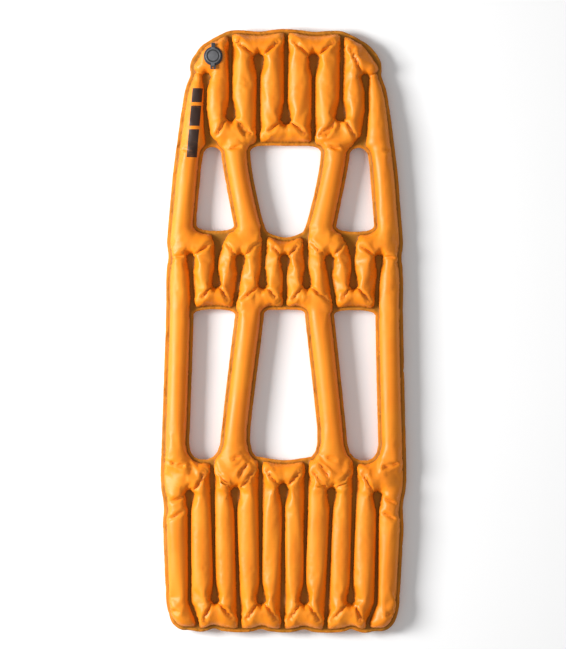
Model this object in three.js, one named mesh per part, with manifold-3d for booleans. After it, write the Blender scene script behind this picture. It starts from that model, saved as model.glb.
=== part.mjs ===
// Inflatable three-quarter-length sleeping pad with open loft windows, inflated and lying flat on the ground.
// Two laminate films are welded together along the rim, along the lines between the air tubes and around the
// windows. A two-stage flip valve stands in the head corner: a small cap opens the one-way inflation port, and the
// lid under it opens the whole bore to let the air out.
// Units are millimetres, +Z is up and +Y points to the head end. The origin is on the ground, under the middle.
import * as THREE from "three";
import { mergeVertices } from "three/addons/utils/BufferGeometryUtils.js";
import Module from "manifold-3d";

const wasm = await Module();
wasm.setup();

// ---------------------------------------------------------------- driving dimensions

// Lengths of the sections along the pad, head to foot.
const HEAD_LENGTH = 208;
const UPPER_WINDOW_LENGTH = 152;
const WAIST_LENGTH = 136;
const LOWER_WINDOW_LENGTH = 265;
const FOOT_LENGTH = 306;

// Tubes.
const TUBE_HEIGHT = 38; // inflated thickness of the pad
const HEAD_PITCH = 47.5; // weld to weld across the pad
const WAIST_PITCH = 40.5;
const FOOT_PITCH = 41.4;
const HEAD_TUBES_A_SIDE = 3;
const WAIST_TUBES_A_SIDE = 4;
const FOOT_TUBES_A_SIDE = 4;
const RAIL_RADIUS = 18.5; // half the width of a side rail
const STRUT_RADIUS = 19; // half the width of a slanted strut

// Films and welds.
const FILM = 0.8; // wall of one film
const FILM_CLEARANCE = 0.3; // between two pieces that touch
const WELD = 3.4; // width of the weld line between two tubes
const DOT_RADIUS = 8.5; // rounded end of a weld line
const DOT_BITE = 5.5; // how far it reaches into the passage that turns round it
const FLANGE = 8; // welded rim outside the tubes
const WEB = 6; // welded strip between a tube and a window
const WINDOW_CORNER = 12;

// Side rail: how far its centreline stands from the pad's own centreline, from the neck to the foot.
const RAIL_AT_CORNER = 122; // the head corner, where the outermost head tube turns into the rail
const RAIL_AT_NECK = 152;
const RAIL_AT_SHOULDER = 162;
const RAIL_AT_CHEST = 169;
const RAIL_AT_WAIST = 184.5;
const RAIL_AT_HIP = 191;
const RAIL_AT_CALF = 187;
const RAIL_AT_TOE = 180;
const CROWN_BELOW_EDGE = 34;
const CORNER_BELOW_EDGE = 42;
const NECK_BELOW_EDGE = 68;
const SHOULDER_BELOW_EDGE = 131;
const CALF_BELOW_FOOT_TOP = 118;

// Struts: distance of their centreline from the middle where they meet each section.
const STRUT_AT_HEAD = 92;
const STRUT_AT_WAIST = 61;
const STRUT_AT_FOOT = 91;

// Head outline.
const HEAD_HALF_WIDTH = 97; // where the head edge starts to turn down
const HEAD_EDGE_DROP = 6;
const CORNER_HALF_WIDTH = 148;
const CORNER_DROP = 26;
const FOOT_CORNER = 18;

// Valve, a turned assembly. Heights are above the film it stands on.
const VALVE_X = -128;
const VALVE_BELOW_EDGE = 52;
const BORE_RADIUS = 10.6;
const NECK_WALL = 2.1;
const NECK_DEPTH = 10;
const BASE_FLANGE_WIDTH = 9.3; // beyond the neck
const BASE_FLANGE_THICKNESS = 1;
const BOSS_MARGIN = 2; // flat seat that the film makes beyond the base's flange
const BOSS_HEIGHT_SHARE = 0.97; // of the tube height
const BOSS_SIDES = 24; // of the seat, and of the flap
const COLLAR_WIDTH = 3.6; // beyond the neck's clearance
const COLLAR_HEIGHT = 2.1;
const COLLAR_CHAMFER = 0.7;
const HINGE_TAB_WIDTH = 6.8;
const HINGE_TAB_THICKNESS = 1.4;
const LID_INSET = 1.6; // from the collar's rim to the lid's
const LID_THICKNESS = 1.5;
const PLUG_CLEARANCE = 0.4; // round a plug in its bore
const LID_PLUG_WALL = 1.8;
const LID_PLUG_DEPTH = 6.2;
const LID_STRAP_LENGTH = 5; // from the collar's rim to the line where the strap bends
const PULL_TAB_WIDTH = 9.6;
const PULL_TAB_LENGTH = 6.5; // beyond the collar's rim
const PULL_TAB_HOLE_RADIUS = 1.7;
const PULL_TAB_HOLE_INSET = 2.8; // from the tab's end to the middle of its hole
const SPIDER_THICKNESS = 1.2;
const SPIDER_SEAT = 1.8; // ledge round the throat that the spider's bars stand on
const SPIDER_BAR = 2;
const SPIDER_HUB = 3;
const FLAP_LAP = 2.2; // how far the flap reaches beyond the throat
const FLAP_THICKNESS = 0.8;
const FLAP_STEM_RADIUS = 1.1;
const FLAP_STEM_PLAY = 0.4;
const FLAP_TRAVEL = 1.6;
const FLAP_HEAD_RADIUS = 2.1;
const FLAP_HEAD_HEIGHT = 0.8;
const CAP_INSET = 1.65; // from the lid's rim to the cap's
const CAP_THICKNESS = 2.1;
const CAP_EDGE_DROP = 0.4; // chamfer round the cap's face
const CAP_EDGE_WIDTH = 0.6;
const CAP_PLUG_WALL = 2;
const CAP_PLUG_DEPTH = 3.5;
const CAP_RIM = 1.95; // outside the groove in the cap's face
const CAP_GROOVE_WIDTH = 2.7;
const CAP_GROOVE_DEPTH = 0.8;
const CAP_STRAP_WIDTH = 5.6;
const CAP_STRAP_THICKNESS = 1.2;
const CAP_STRAP_LENGTH = 3.25; // beyond the cap's rim
const CAP_STEP_LENGTH = 1.2; // the raised step on the lid that the cap's strap grows from
const CAP_LIP_WIDTH = 6;
const CAP_LIP_LENGTH = 1.45; // beyond the cap's rim
const PLUG_LEAD_IN = 0.8; // chamfer at the end of a plug
const SEAL_SECTION = 0.6; // radius of a sealing ring's round section
const SEAL_GROOVE_DEPTH = 1.2;
const TURNED_SIDES = 28;
const SMALL_SIDES = 16; // hubs, small holes
const SEAL_SIDES = 8;
const DOT_SIDES = 8;
const PAST = 1; // how far a cutter runs past what it cuts
const SMALLEST_DETAIL = 0.02; // below which the films' facets are merged

// ---------------------------------------------------------------- places worked out from them

const HALF_HEIGHT = TUBE_HEIGHT / 2;
const LENGTH = HEAD_LENGTH + UPPER_WINDOW_LENGTH + WAIST_LENGTH + LOWER_WINDOW_LENGTH + FOOT_LENGTH;
const HEAD_EDGE = LENGTH / 2;
const HEAD_BOTTOM = HEAD_EDGE - HEAD_LENGTH;
const WAIST_TOP = HEAD_BOTTOM - UPPER_WINDOW_LENGTH;
const WAIST_BOTTOM = WAIST_TOP - WAIST_LENGTH;
const FOOT_TOP = WAIST_BOTTOM - LOWER_WINDOW_LENGTH;
const FOOT_EDGE = -LENGTH / 2;
const VALVE_Y = HEAD_EDGE - VALVE_BELOW_EDGE;

// Valve radii, from the bore outwards and inwards.
const NECK_RADIUS = BORE_RADIUS + NECK_WALL;
const BASE_FLANGE_RADIUS = NECK_RADIUS + BASE_FLANGE_WIDTH;
const BOSS_RADIUS = BASE_FLANGE_RADIUS + BOSS_MARGIN;
const COLLAR_RADIUS = NECK_RADIUS + FILM_CLEARANCE + COLLAR_WIDTH;
const LID_RADIUS = COLLAR_RADIUS - LID_INSET;
const LID_PLUG_RADIUS = BORE_RADIUS - PLUG_CLEARANCE;
const LID_PORT_RADIUS = LID_PLUG_RADIUS - LID_PLUG_WALL;
const LID_HINGE_REACH = COLLAR_RADIUS + LID_STRAP_LENGTH;
const PULL_TAB_REACH = COLLAR_RADIUS + PULL_TAB_LENGTH;
const PULL_TAB_HOLE_AT = PULL_TAB_REACH - PULL_TAB_HOLE_INSET;
const SPIDER_THROAT = LID_PORT_RADIUS - SPIDER_SEAT;
const FLAP_RADIUS = SPIDER_THROAT + FLAP_LAP;
const CAP_RADIUS = LID_RADIUS - CAP_INSET;
const CAP_PLUG_RADIUS = LID_PORT_RADIUS - PLUG_CLEARANCE;
const CAP_GROOVE_OUTER = CAP_RADIUS - CAP_RIM;
const CAP_GROOVE_INNER = CAP_GROOVE_OUTER - CAP_GROOVE_WIDTH;
const CAP_HINGE_REACH = CAP_RADIUS + CAP_STRAP_LENGTH;
const CAP_LIP_REACH = CAP_RADIUS + CAP_LIP_LENGTH;

const HEAD_RADIUS = (HEAD_PITCH - WELD) / 2;
const WAIST_RADIUS = (WAIST_PITCH - WELD) / 2;
const FOOT_RADIUS = (FOOT_PITCH - WELD) / 2;
// From a section's edge to the middle of the passage along it, which is as wide as the tubes, and to the rounded end
// of the weld line that it turns round.
const edgeToTurn = (radius) => FLANGE + radius;
const edgeToDot = (radius) => FLANGE + 2 * radius + DOT_RADIUS - DOT_BITE;

// The right rail, with its half width and height as a share of the full ones at each point. It begins across the top
// of the outermost head tube.
const railPath = [
  [HEAD_TUBES_A_SIDE * HEAD_PITCH - HEAD_PITCH + WELD / 2, HEAD_EDGE - CROWN_BELOW_EDGE, 0.98],
  [RAIL_AT_CORNER, HEAD_EDGE - CORNER_BELOW_EDGE, 0.92],
  [RAIL_AT_NECK, HEAD_EDGE - NECK_BELOW_EDGE, 0.75],
  [RAIL_AT_SHOULDER, HEAD_EDGE - SHOULDER_BELOW_EDGE, 0.92],
  [RAIL_AT_CHEST, HEAD_BOTTOM, 1],
  [RAIL_AT_WAIST, WAIST_TOP, 1],
  [RAIL_AT_WAIST, WAIST_BOTTOM, 1],
  [RAIL_AT_HIP, FOOT_TOP, 1],
  [RAIL_AT_CALF, FOOT_TOP - CALF_BELOW_FOOT_TOP, 1],
  [RAIL_AT_TOE, FOOT_EDGE + FLANGE, 0.8],
].map(([x, y, share]) => ({ x, y, radius: share * RAIL_RADIUS, height: share * HALF_HEIGHT }));

// Place on a polyline of {x, y} points at height y, which falls along it.
function xAt(path, y) {
  const i = Math.max(1, path.findIndex((p) => p.y <= y));
  const [a, b] = [path[i - 1], path[i]];
  return a.x + ((b.x - a.x) * (a.y - y)) / (a.y - b.y);
}

const upperStrut = [
  { x: STRUT_AT_HEAD, y: HEAD_BOTTOM },
  { x: STRUT_AT_WAIST, y: WAIST_TOP },
];
const lowerStrut = [
  { x: STRUT_AT_WAIST, y: WAIST_BOTTOM },
  { x: STRUT_AT_FOOT, y: FOOT_TOP },
];

// ---------------------------------------------------------------- solids

// A closed three.js geometry as a manifold-3d solid.
function solid(geometry) {
  const bare = geometry.index ? geometry.toNonIndexed() : geometry.clone();
  bare.deleteAttribute("normal");
  bare.deleteAttribute("uv");
  const merged = mergeVertices(bare, 1e-4);
  return new wasm.Manifold(
    new wasm.Mesh({
      numProp: 3,
      vertProperties: new Float32Array(merged.attributes.position.array),
      triVerts: new Uint32Array(merged.index.array),
    }),
  );
}

// A manifold-3d solid as a named mesh.
function meshOf(name, made, material) {
  const { vertProperties, triVerts } = made.getMesh();
  const geometry = new THREE.BufferGeometry()
    .setAttribute("position", new THREE.BufferAttribute(vertProperties, 3))
    .setIndex(new THREE.BufferAttribute(triVerts, 1));
  geometry.computeVertexNormals();
  const mesh = new THREE.Mesh(geometry, material);
  mesh.name = name;
  return mesh;
}

const joined = (solids) => solids.reduce((all, next) => all.add(next));

// A flat plate: the shape's outline, between two heights.
function plate(shape, low, high) {
  const geometry = new THREE.ExtrudeGeometry(shape, { depth: high - low, bevelEnabled: false, curveSegments: 4 });
  return solid(geometry.translate(0, 0, low));
}

// A box between two corners.
function block(low, high) {
  const size = high.map((value, i) => value - low[i]);
  const geometry = new THREE.BoxGeometry(...size);
  return solid(geometry.translate(...low.map((value, i) => value + size[i] / 2)));
}

// A turned solid about Z, from a closed profile of [radius, height] points given anticlockwise.
function turned(profile, sides = TURNED_SIDES) {
  const closed = [...profile, profile[0]].map(([r, z]) => new THREE.Vector2(r, z));
  return solid(new THREE.LatheGeometry(closed, sides).rotateX(Math.PI / 2));
}

const turnedRing = (inner, outer, low, high) =>
  turned([[inner, low], [outer, low], [outer, high], [inner, high]]);

const turnedDisc = (radius, low, high, sides) => turned([[0, low], [radius, low], [radius, high], [0, high]], sides);

// Upper half of the eight-sided section of a full tube, as shares of its half width and height. It has a flat crown
// and upright sides, and the first and last points stand on the weld plane.
const FLAT = Math.tan(Math.PI / 8);
const SECTION = [[1, 0], [1, FLAT], [FLAT, 1], [-FLAT, 1], [-1, FLAT], [-1, 0]];

// A half tube that stands on the weld plane: the section, carried along stations of {x, y, radius, height}.
// shrink takes a wall off its sides, crown and ends, and foot is how far its flat side reaches below the plane.
function halfTube(path, shrink, foot) {
  const points = [];
  const pulledIn = (end, next) => {
    const share = shrink / Math.hypot(next.x - end.x, next.y - end.y);
    return { ...end, x: end.x + (next.x - end.x) * share, y: end.y + (next.y - end.y) * share };
  };
  const stations = [pulledIn(path[0], path[1]), ...path.slice(1, -1), pulledIn(path.at(-1), path.at(-2))];
  stations.forEach((at, i) => {
    const before = stations[Math.max(0, i - 1)];
    const after = stations[Math.min(stations.length - 1, i + 1)];
    const along = new THREE.Vector2(after.x - before.x, after.y - before.y).normalize();
    for (const [across, up] of SECTION) {
      const side = across * (at.radius - shrink);
      const height = up === 0 ? -foot : up * (at.height - shrink);
      points.push(at.x + along.y * side, at.y - along.x * side, height);
    }
  });
  const n = SECTION.length;
  const faces = [];
  for (let i = 0; i + 1 < stations.length; i++)
    for (let k = 0; k < n; k++) {
      const [a, b] = [i * n + k, i * n + ((k + 1) % n)];
      faces.push(a, b, b + n, a, b + n, a + n);
    }
  const last = (stations.length - 1) * n;
  for (let k = 1; k + 1 < n; k++) faces.push(0, k + 1, k, last, last + k, last + k + 1);
  const geometry = new THREE.BufferGeometry();
  geometry.setAttribute("position", new THREE.Float32BufferAttribute(points, 3));
  geometry.setIndex(faces);
  const made = solid(geometry);
  return made.volume() < 0 ? solid(geometry.scale(-1, 1, 1)).mirror([1, 0, 0]) : made;
}

// Stations of a straight tube from one point to another.
const tube = ([ax, ay], [bx, by], radius) => [
  { x: ax, y: ay, radius, height: HALF_HEIGHT },
  { x: bx, y: by, radius, height: HALF_HEIGHT },
];

// ---------------------------------------------------------------- the plan of the pad, right half

// The three sections with straight tubes. Their weld lines are numbered outwards from the middle, and the air turns
// round an even line at one end of the section and round an odd one at the other, so that it folds back and forth.
const headTop = HEAD_EDGE - HEAD_EDGE_DROP;
const sectionOf = (pitch, radius, tubes, even, odd, rail) => ({ pitch, radius, tubes, even, odd, rail });
const sections = [
  sectionOf(HEAD_PITCH, HEAD_RADIUS, HEAD_TUBES_A_SIDE, HEAD_BOTTOM, headTop, false),
  sectionOf(WAIST_PITCH, WAIST_RADIUS, WAIST_TUBES_A_SIDE, WAIST_TOP, WAIST_BOTTOM, true),
  sectionOf(FOOT_PITCH, FOOT_RADIUS, FOOT_TUBES_A_SIDE, FOOT_TOP, FOOT_EDGE, true),
];

// Height at a distance into a section from the end where the air turns round the line.
function inFrom(section, line, distance) {
  const [end, other] = line % 2 ? [section.odd, section.even] : [section.even, section.odd];
  return end + Math.sign(other - end) * distance;
}

// Straight tubes, and the turns between them: each turn is a short tube across, under the two that it joins.
function tubesAndTurns() {
  const made = [];
  for (const section of sections) {
    const { pitch, radius, tubes, rail } = section;
    const end = edgeToTurn(radius);
    for (let i = 0; i < tubes; i++) {
      const x = (i + 0.5) * pitch;
      made.push(tube([x, inFrom(section, i, end)], [x, inFrom(section, i + 1, end)], radius));
    }
    for (let line = 0; line < tubes + (rail ? 1 : 0); line++) {
      const y = inFrom(section, line, end);
      const from = line ? (line - 0.5) * pitch - radius : 0;
      const to = line < tubes ? (line + 0.5) * pitch + radius : xAt(railPath, y);
      made.push(tube([from, y], [to, y], radius));
    }
  }
  return made;
}

// Struts. They run on into the tubes that feed them.
function struts() {
  const strut = (path, top, bottom) => tube([xAt(path, top), top], [xAt(path, bottom), bottom], STRUT_RADIUS);
  const [inHead, inWaist, inFoot] = sections.map((section) => edgeToTurn(section.radius));
  return [
    strut(upperStrut, HEAD_BOTTOM + inHead, WAIST_TOP - inWaist),
    strut(lowerStrut, WAIST_BOTTOM + inWaist, FOOT_TOP - inFoot),
  ];
}

// Rounded ends of the weld lines.
function weldDots() {
  const dots = [{ x: HEAD_TUBES_A_SIDE * HEAD_PITCH, y: HEAD_EDGE - NECK_BELOW_EDGE - RAIL_RADIUS }];
  for (const section of sections)
    for (let line = 0; line < section.tubes + (section.rail ? 1 : 0); line++)
      dots.push({ x: line * section.pitch, y: inFrom(section, line, edgeToDot(section.radius)) });
  return dots;
}

// Outline of the films, anticlockwise: right side going up, head, left side going down, foot.
function outline() {
  const rim = RAIL_RADIUS + FLANGE;
  const side = railPath.slice(2).map((p) => [p.x + p.radius + FLANGE, p.y]).reverse();
  side[0] = [RAIL_AT_TOE + rim - FOOT_CORNER / 2, FOOT_EDGE + FOOT_CORNER];
  const right = [
    [RAIL_AT_TOE + rim - FOOT_CORNER * 1.5, FOOT_EDGE],
    ...side,
    [CORNER_HALF_WIDTH, HEAD_EDGE - CORNER_DROP],
    [HEAD_HALF_WIDTH, headTop],
  ];
  const left = right.map(([x, y]) => [-x, y]).reverse();
  return new THREE.Shape([...right, [0, HEAD_EDGE], ...left].map(([x, y]) => new THREE.Vector2(x, y)));
}

// A polygon with its corners rounded, as a three.js path.
function roundedPath(corners, radius) {
  const points = corners.map(([x, y]) => new THREE.Vector2(x, y));
  const path = new THREE.Shape();
  points.forEach((corner, i) => {
    const before = points[(i + points.length - 1) % points.length];
    const after = points[(i + 1) % points.length];
    const towards = (p) => corner.clone().add(p.clone().sub(corner).setLength(radius));
    const [start, end] = [towards(before), towards(after)];
    if (i === 0) path.moveTo(start.x, start.y);
    else path.lineTo(start.x, start.y);
    path.quadraticCurveTo(corner.x, corner.y, end.x, end.y);
  });
  path.closePath();
  return path;
}

// The windows between a strut and the rail, and between the two struts, at the upper or the lower pair of struts.
function windows(strut) {
  const [top, bottom] = [strut[0].y, strut[1].y];
  const outside = STRUT_RADIUS + WEB;
  const railSide = (y) => xAt(railPath, y) - RAIL_RADIUS - WEB;
  const sideWindow = (sign) => [
    [sign * (strut[0].x + outside), top],
    [sign * railSide(top), top],
    [sign * railSide(bottom), bottom],
    [sign * (strut[1].x + outside), bottom],
  ];
  const [a, b] = [strut[0].x - outside, strut[1].x - outside];
  const middle = [[-a, top], [a, top], [b, bottom], [-b, bottom]];
  return [sideWindow(1), sideWindow(-1), middle].map((corners) => roundedPath(corners, WINDOW_CORNER));
}

// ---------------------------------------------------------------- films

const bothSides = (stations) => [stations, stations.map((at) => ({ ...at, x: -at.x }))];

// One film: a flat sheet on the weld plane with half a tube raised over every chamber. It is built with its weld
// plane at z = 0 and its tubes upwards. seat adds the flat boss and the hole for the valve.
function film(seat) {
  const low = FILM_CLEARANCE / 2;
  const chambers = [...tubesAndTurns(), ...struts(), railPath].flatMap(bothSides);
  const dots = weldDots().flatMap(({ x, y }) => (x ? [{ x, y }, { x: -x, y }] : [{ x, y }]));
  const dotsOf = (radius) =>
    joined(dots.map(({ x, y }) => turnedDisc(radius, -TUBE_HEIGHT, TUBE_HEIGHT, DOT_SIDES).translate([x, y, 0])));
  const raised = (shrink, foot) => joined(chambers.map((stations) => halfTube(stations, shrink, foot)));
  let outer = raised(0, FILM).subtract(dotsOf(DOT_RADIUS));
  let inner = raised(FILM, TUBE_HEIGHT).subtract(dotsOf(DOT_RADIUS + FILM));
  if (seat) {
    const crown = TUBE_HEIGHT * BOSS_HEIGHT_SHARE - HALF_HEIGHT;
    const at = [VALVE_X, VALVE_Y, 0];
    outer = outer.add(turnedDisc(BOSS_RADIUS, 0, crown, BOSS_SIDES).translate(at));
    inner = inner.add(turnedDisc(BOSS_RADIUS - FILM, -TUBE_HEIGHT, crown - FILM, BOSS_SIDES).translate(at));
    outer = outer.subtract(turnedDisc(BOSS_RADIUS, crown, TUBE_HEIGHT, BOSS_SIDES).translate(at));
    inner = inner.subtract(turnedDisc(BOSS_RADIUS + FILM, crown - FILM, TUBE_HEIGHT, BOSS_SIDES).translate(at));
    inner = inner.add(turnedDisc(NECK_RADIUS + FILM_CLEARANCE, 0, TUBE_HEIGHT, TURNED_SIDES).translate(at));
  }
  const sheetShape = outline();
  sheetShape.holes = [...windows(upperStrut), ...windows(lowerStrut)];
  const sheet = plate(sheetShape, low, low + FILM);
  const belowWeldPlane = block([-LENGTH, -LENGTH, -TUBE_HEIGHT], [LENGTH, LENGTH, low]);
  return sheet.add(outer).subtract(inner).subtract(belowWeldPlane).simplify(SMALLEST_DETAIL);
}

// ---------------------------------------------------------------- valve, about its own axis, z = 0 on the film

const lidBottom = FILM_CLEARANCE + COLLAR_HEIGHT + FILM_CLEARANCE;
const lidTop = lidBottom + LID_THICKNESS;
const plugBottom = lidBottom - LID_PLUG_DEPTH;
const spiderTop = plugBottom + SPIDER_THICKNESS;
const capBottom = lidTop + FILM_CLEARANCE;
const capTop = capBottom + CAP_THICKNESS;
const capPlugEnd = capBottom - CAP_PLUG_DEPTH;
const capStrapLow = capBottom + (CAP_THICKNESS - CAP_STRAP_THICKNESS) / 2;

// Groove for a sealing ring round a plug, and the ring itself, in the middle of the stretch between two heights.
function sealGroove(plugRadius, low, high) {
  const middle = (low + high) / 2;
  const half = SEAL_SECTION + FILM_CLEARANCE / 2;
  return turnedRing(plugRadius - SEAL_GROOVE_DEPTH, plugRadius + SEAL_SECTION * 2, middle - half, middle + half);
}

function sealRing(plugRadius, low, high) {
  const radius = plugRadius - SEAL_GROOVE_DEPTH + FILM_CLEARANCE / 2 + SEAL_SECTION;
  const ring = new THREE.TorusGeometry(radius, SEAL_SECTION, SEAL_SIDES, TURNED_SIDES);
  return solid(ring.translate(0, 0, (low + high) / 2));
}

// Moulded base: a flange welded to the inside of the film, and the neck that stands through it.
function valveBase() {
  const flangeTop = -FILM - FILM_CLEARANCE;
  return turned([
    [BORE_RADIUS, -NECK_DEPTH],
    [NECK_RADIUS, -NECK_DEPTH],
    [NECK_RADIUS, flangeTop - BASE_FLANGE_THICKNESS],
    [BASE_FLANGE_RADIUS, flangeTop - BASE_FLANGE_THICKNESS],
    [BASE_FLANGE_RADIUS, flangeTop],
    [NECK_RADIUS, flangeTop],
    [NECK_RADIUS, FILM_CLEARANCE + COLLAR_HEIGHT],
    [BORE_RADIUS, FILM_CLEARANCE + COLLAR_HEIGHT],
  ]);
}

// Collar that snaps round the neck above the film, with the tab that the lid's strap bends from.
function valveCollar() {
  const [low, high] = [FILM_CLEARANCE, FILM_CLEARANCE + COLLAR_HEIGHT];
  const inner = NECK_RADIUS + FILM_CLEARANCE;
  const ring = turned([
    [inner, low],
    [COLLAR_RADIUS, low],
    [COLLAR_RADIUS, high - COLLAR_CHAMFER],
    [COLLAR_RADIUS - COLLAR_CHAMFER, high],
    [inner, high],
  ]);
  const half = HINGE_TAB_WIDTH / 2;
  const middle = (inner + COLLAR_RADIUS) / 2;
  return ring.add(block([-half, middle, low], [half, LID_HINGE_REACH, low + HINGE_TAB_THICKNESS]));
}

// Lid that plugs the whole bore. It carries the inflation port, whose spider holds the flap.
function deflateLid() {
  const body = turned([
    [SPIDER_THROAT, plugBottom],
    [LID_PLUG_RADIUS - PLUG_LEAD_IN, plugBottom],
    [LID_PLUG_RADIUS, plugBottom + PLUG_LEAD_IN],
    [LID_PLUG_RADIUS, lidBottom],
    [LID_RADIUS, lidBottom],
    [LID_RADIUS, lidTop],
    [LID_PORT_RADIUS, lidTop],
    [LID_PORT_RADIUS, spiderTop],
    [SPIDER_THROAT, spiderTop],
  ]).subtract(sealGroove(LID_PLUG_RADIUS, plugBottom, lidBottom));
  const arm = SPIDER_BAR / 2;
  const reach = (SPIDER_THROAT + LID_PORT_RADIUS) / 2;
  const spider = block([-reach, -arm, plugBottom], [reach, arm, spiderTop])
    .add(block([-arm, -reach, plugBottom], [arm, reach, spiderTop]))
    .add(turnedDisc(SPIDER_HUB, plugBottom, spiderTop, SMALL_SIDES))
    .subtract(turnedDisc(FLAP_STEM_RADIUS + FLAP_STEM_PLAY, plugBottom - PAST, spiderTop + PAST, SMALL_SIDES));
  const inside = (LID_PORT_RADIUS + LID_RADIUS) / 2;
  const strap = HINGE_TAB_WIDTH / 2;
  const tab = PULL_TAB_WIDTH / 2;
  const step = CAP_STRAP_WIDTH / 2;
  const stepFrom = -CAP_HINGE_REACH - FILM_CLEARANCE;
  const tabHole = turnedDisc(PULL_TAB_HOLE_RADIUS, lidBottom - PAST, lidTop + PAST, SMALL_SIDES);
  const straps = block([-strap, inside, lidBottom], [strap, LID_HINGE_REACH, lidBottom + HINGE_TAB_THICKNESS])
    .add(block([-tab, -PULL_TAB_REACH, lidBottom], [tab, -inside, lidTop]))
    .subtract(tabHole.translate([0, -PULL_TAB_HOLE_AT, 0]))
    .add(block([-step, stepFrom - CAP_STEP_LENGTH, lidBottom], [step, stepFrom, capBottom]));
  return body.add(spider).add(straps);
}

// One-way flap: a soft disc under the spider on a stem with a round head, which stays captive as it opens.
function checkFlap() {
  const top = plugBottom - FILM_CLEARANCE;
  const headLow = spiderTop + FLAP_TRAVEL + FILM_CLEARANCE;
  return turned(
    [
      [0, top - FLAP_THICKNESS],
      [FLAP_RADIUS, top - FLAP_THICKNESS],
      [FLAP_RADIUS, top],
      [FLAP_STEM_RADIUS, top],
      [FLAP_STEM_RADIUS, headLow],
      [FLAP_HEAD_RADIUS, headLow],
      [FLAP_HEAD_RADIUS, headLow + FLAP_HEAD_HEIGHT / 2],
      [FLAP_STEM_RADIUS, headLow + FLAP_HEAD_HEIGHT],
      [0, headLow + FLAP_HEAD_HEIGHT],
    ],
    BOSS_SIDES,
  );
}

// Cap of the inflation port, with its own short strap at the foot side and a lip to lift it by.
function inflateCap() {
  const body = turned([
    [CAP_PLUG_RADIUS - CAP_PLUG_WALL, capPlugEnd],
    [CAP_PLUG_RADIUS - PLUG_LEAD_IN, capPlugEnd],
    [CAP_PLUG_RADIUS, capPlugEnd + PLUG_LEAD_IN],
    [CAP_PLUG_RADIUS, capBottom],
    [CAP_RADIUS, capBottom],
    [CAP_RADIUS, capTop - CAP_EDGE_DROP],
    [CAP_RADIUS - CAP_EDGE_WIDTH, capTop],
    [CAP_GROOVE_OUTER, capTop],
    [CAP_GROOVE_OUTER, capTop - CAP_GROOVE_DEPTH],
    [CAP_GROOVE_INNER, capTop - CAP_GROOVE_DEPTH],
    [CAP_GROOVE_INNER, capTop],
    [0, capTop],
    [0, capBottom],
    [CAP_PLUG_RADIUS - CAP_PLUG_WALL, capBottom],
  ]).subtract(sealGroove(CAP_PLUG_RADIUS, capPlugEnd, capBottom));
  const inside = (CAP_GROOVE_OUTER + CAP_RADIUS) / 2;
  const strap = CAP_STRAP_WIDTH / 2;
  const lip = CAP_LIP_WIDTH / 2;
  return body
    .add(block([-strap, -CAP_HINGE_REACH, capStrapLow], [strap, -inside, capStrapLow + CAP_STRAP_THICKNESS]))
    .add(block([-lip, inside, capStrapLow], [lip, CAP_LIP_REACH, capStrapLow + CAP_STRAP_THICKNESS]));
}

// ---------------------------------------------------------------- assembly

const laminate = new THREE.MeshStandardMaterial({ color: 0xe8912a, roughness: 0.5, metalness: 0 });
const darkPolymer = new THREE.MeshStandardMaterial({ color: 0x33383f, roughness: 0.5, metalness: 0 });
const greyPolymer = new THREE.MeshStandardMaterial({ color: 0x6e6e72, roughness: 0.45, metalness: 0 });
const silicone = new THREE.MeshStandardMaterial({ color: 0x9a9a98, roughness: 0.6, metalness: 0 });

const pad = new THREE.Group();

const upperFilm = meshOf("upper_film", film(true), laminate);
upperFilm.position.z = HALF_HEIGHT;
const lowerFilm = meshOf("lower_film", film(false).mirror([0, 0, 1]), laminate);
lowerFilm.position.z = HALF_HEIGHT;
pad.add(upperFilm, lowerFilm);

const valve = new THREE.Group();
valve.position.set(VALVE_X, VALVE_Y, TUBE_HEIGHT * BOSS_HEIGHT_SHARE);
valve.add(
  meshOf("valve_base", valveBase(), darkPolymer),
  meshOf("valve_collar", valveCollar(), darkPolymer),
  meshOf("deflate_lid", deflateLid(), darkPolymer),
  meshOf("lid_seal_ring", sealRing(LID_PLUG_RADIUS, plugBottom, lidBottom), silicone),
  meshOf("check_flap", checkFlap(), silicone),
  meshOf("inflate_cap", inflateCap(), greyPolymer),
  meshOf("cap_seal_ring", sealRing(CAP_PLUG_RADIUS, capPlugEnd, capBottom), silicone),
);
pad.add(valve);

export default pad;
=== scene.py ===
"""Inflated sleeping pad with open windows and a flip valve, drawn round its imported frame.

Everything is in metres in the frame's own axes: +X to the pad's right, +Y to the head, +Z up, with the
origin on the ground under the middle. The two films are one flat plan of welds, inflated by cloth
simulation; the valve's pieces are turned profiles and swept straps.
"""
import math

import bmesh
import bpy
import numpy as np
from bpy.props import FloatProperty, FloatVectorProperty, IntProperty, PointerProperty
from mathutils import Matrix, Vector
from mathutils.geometry import delaunay_2d_cdt


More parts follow.
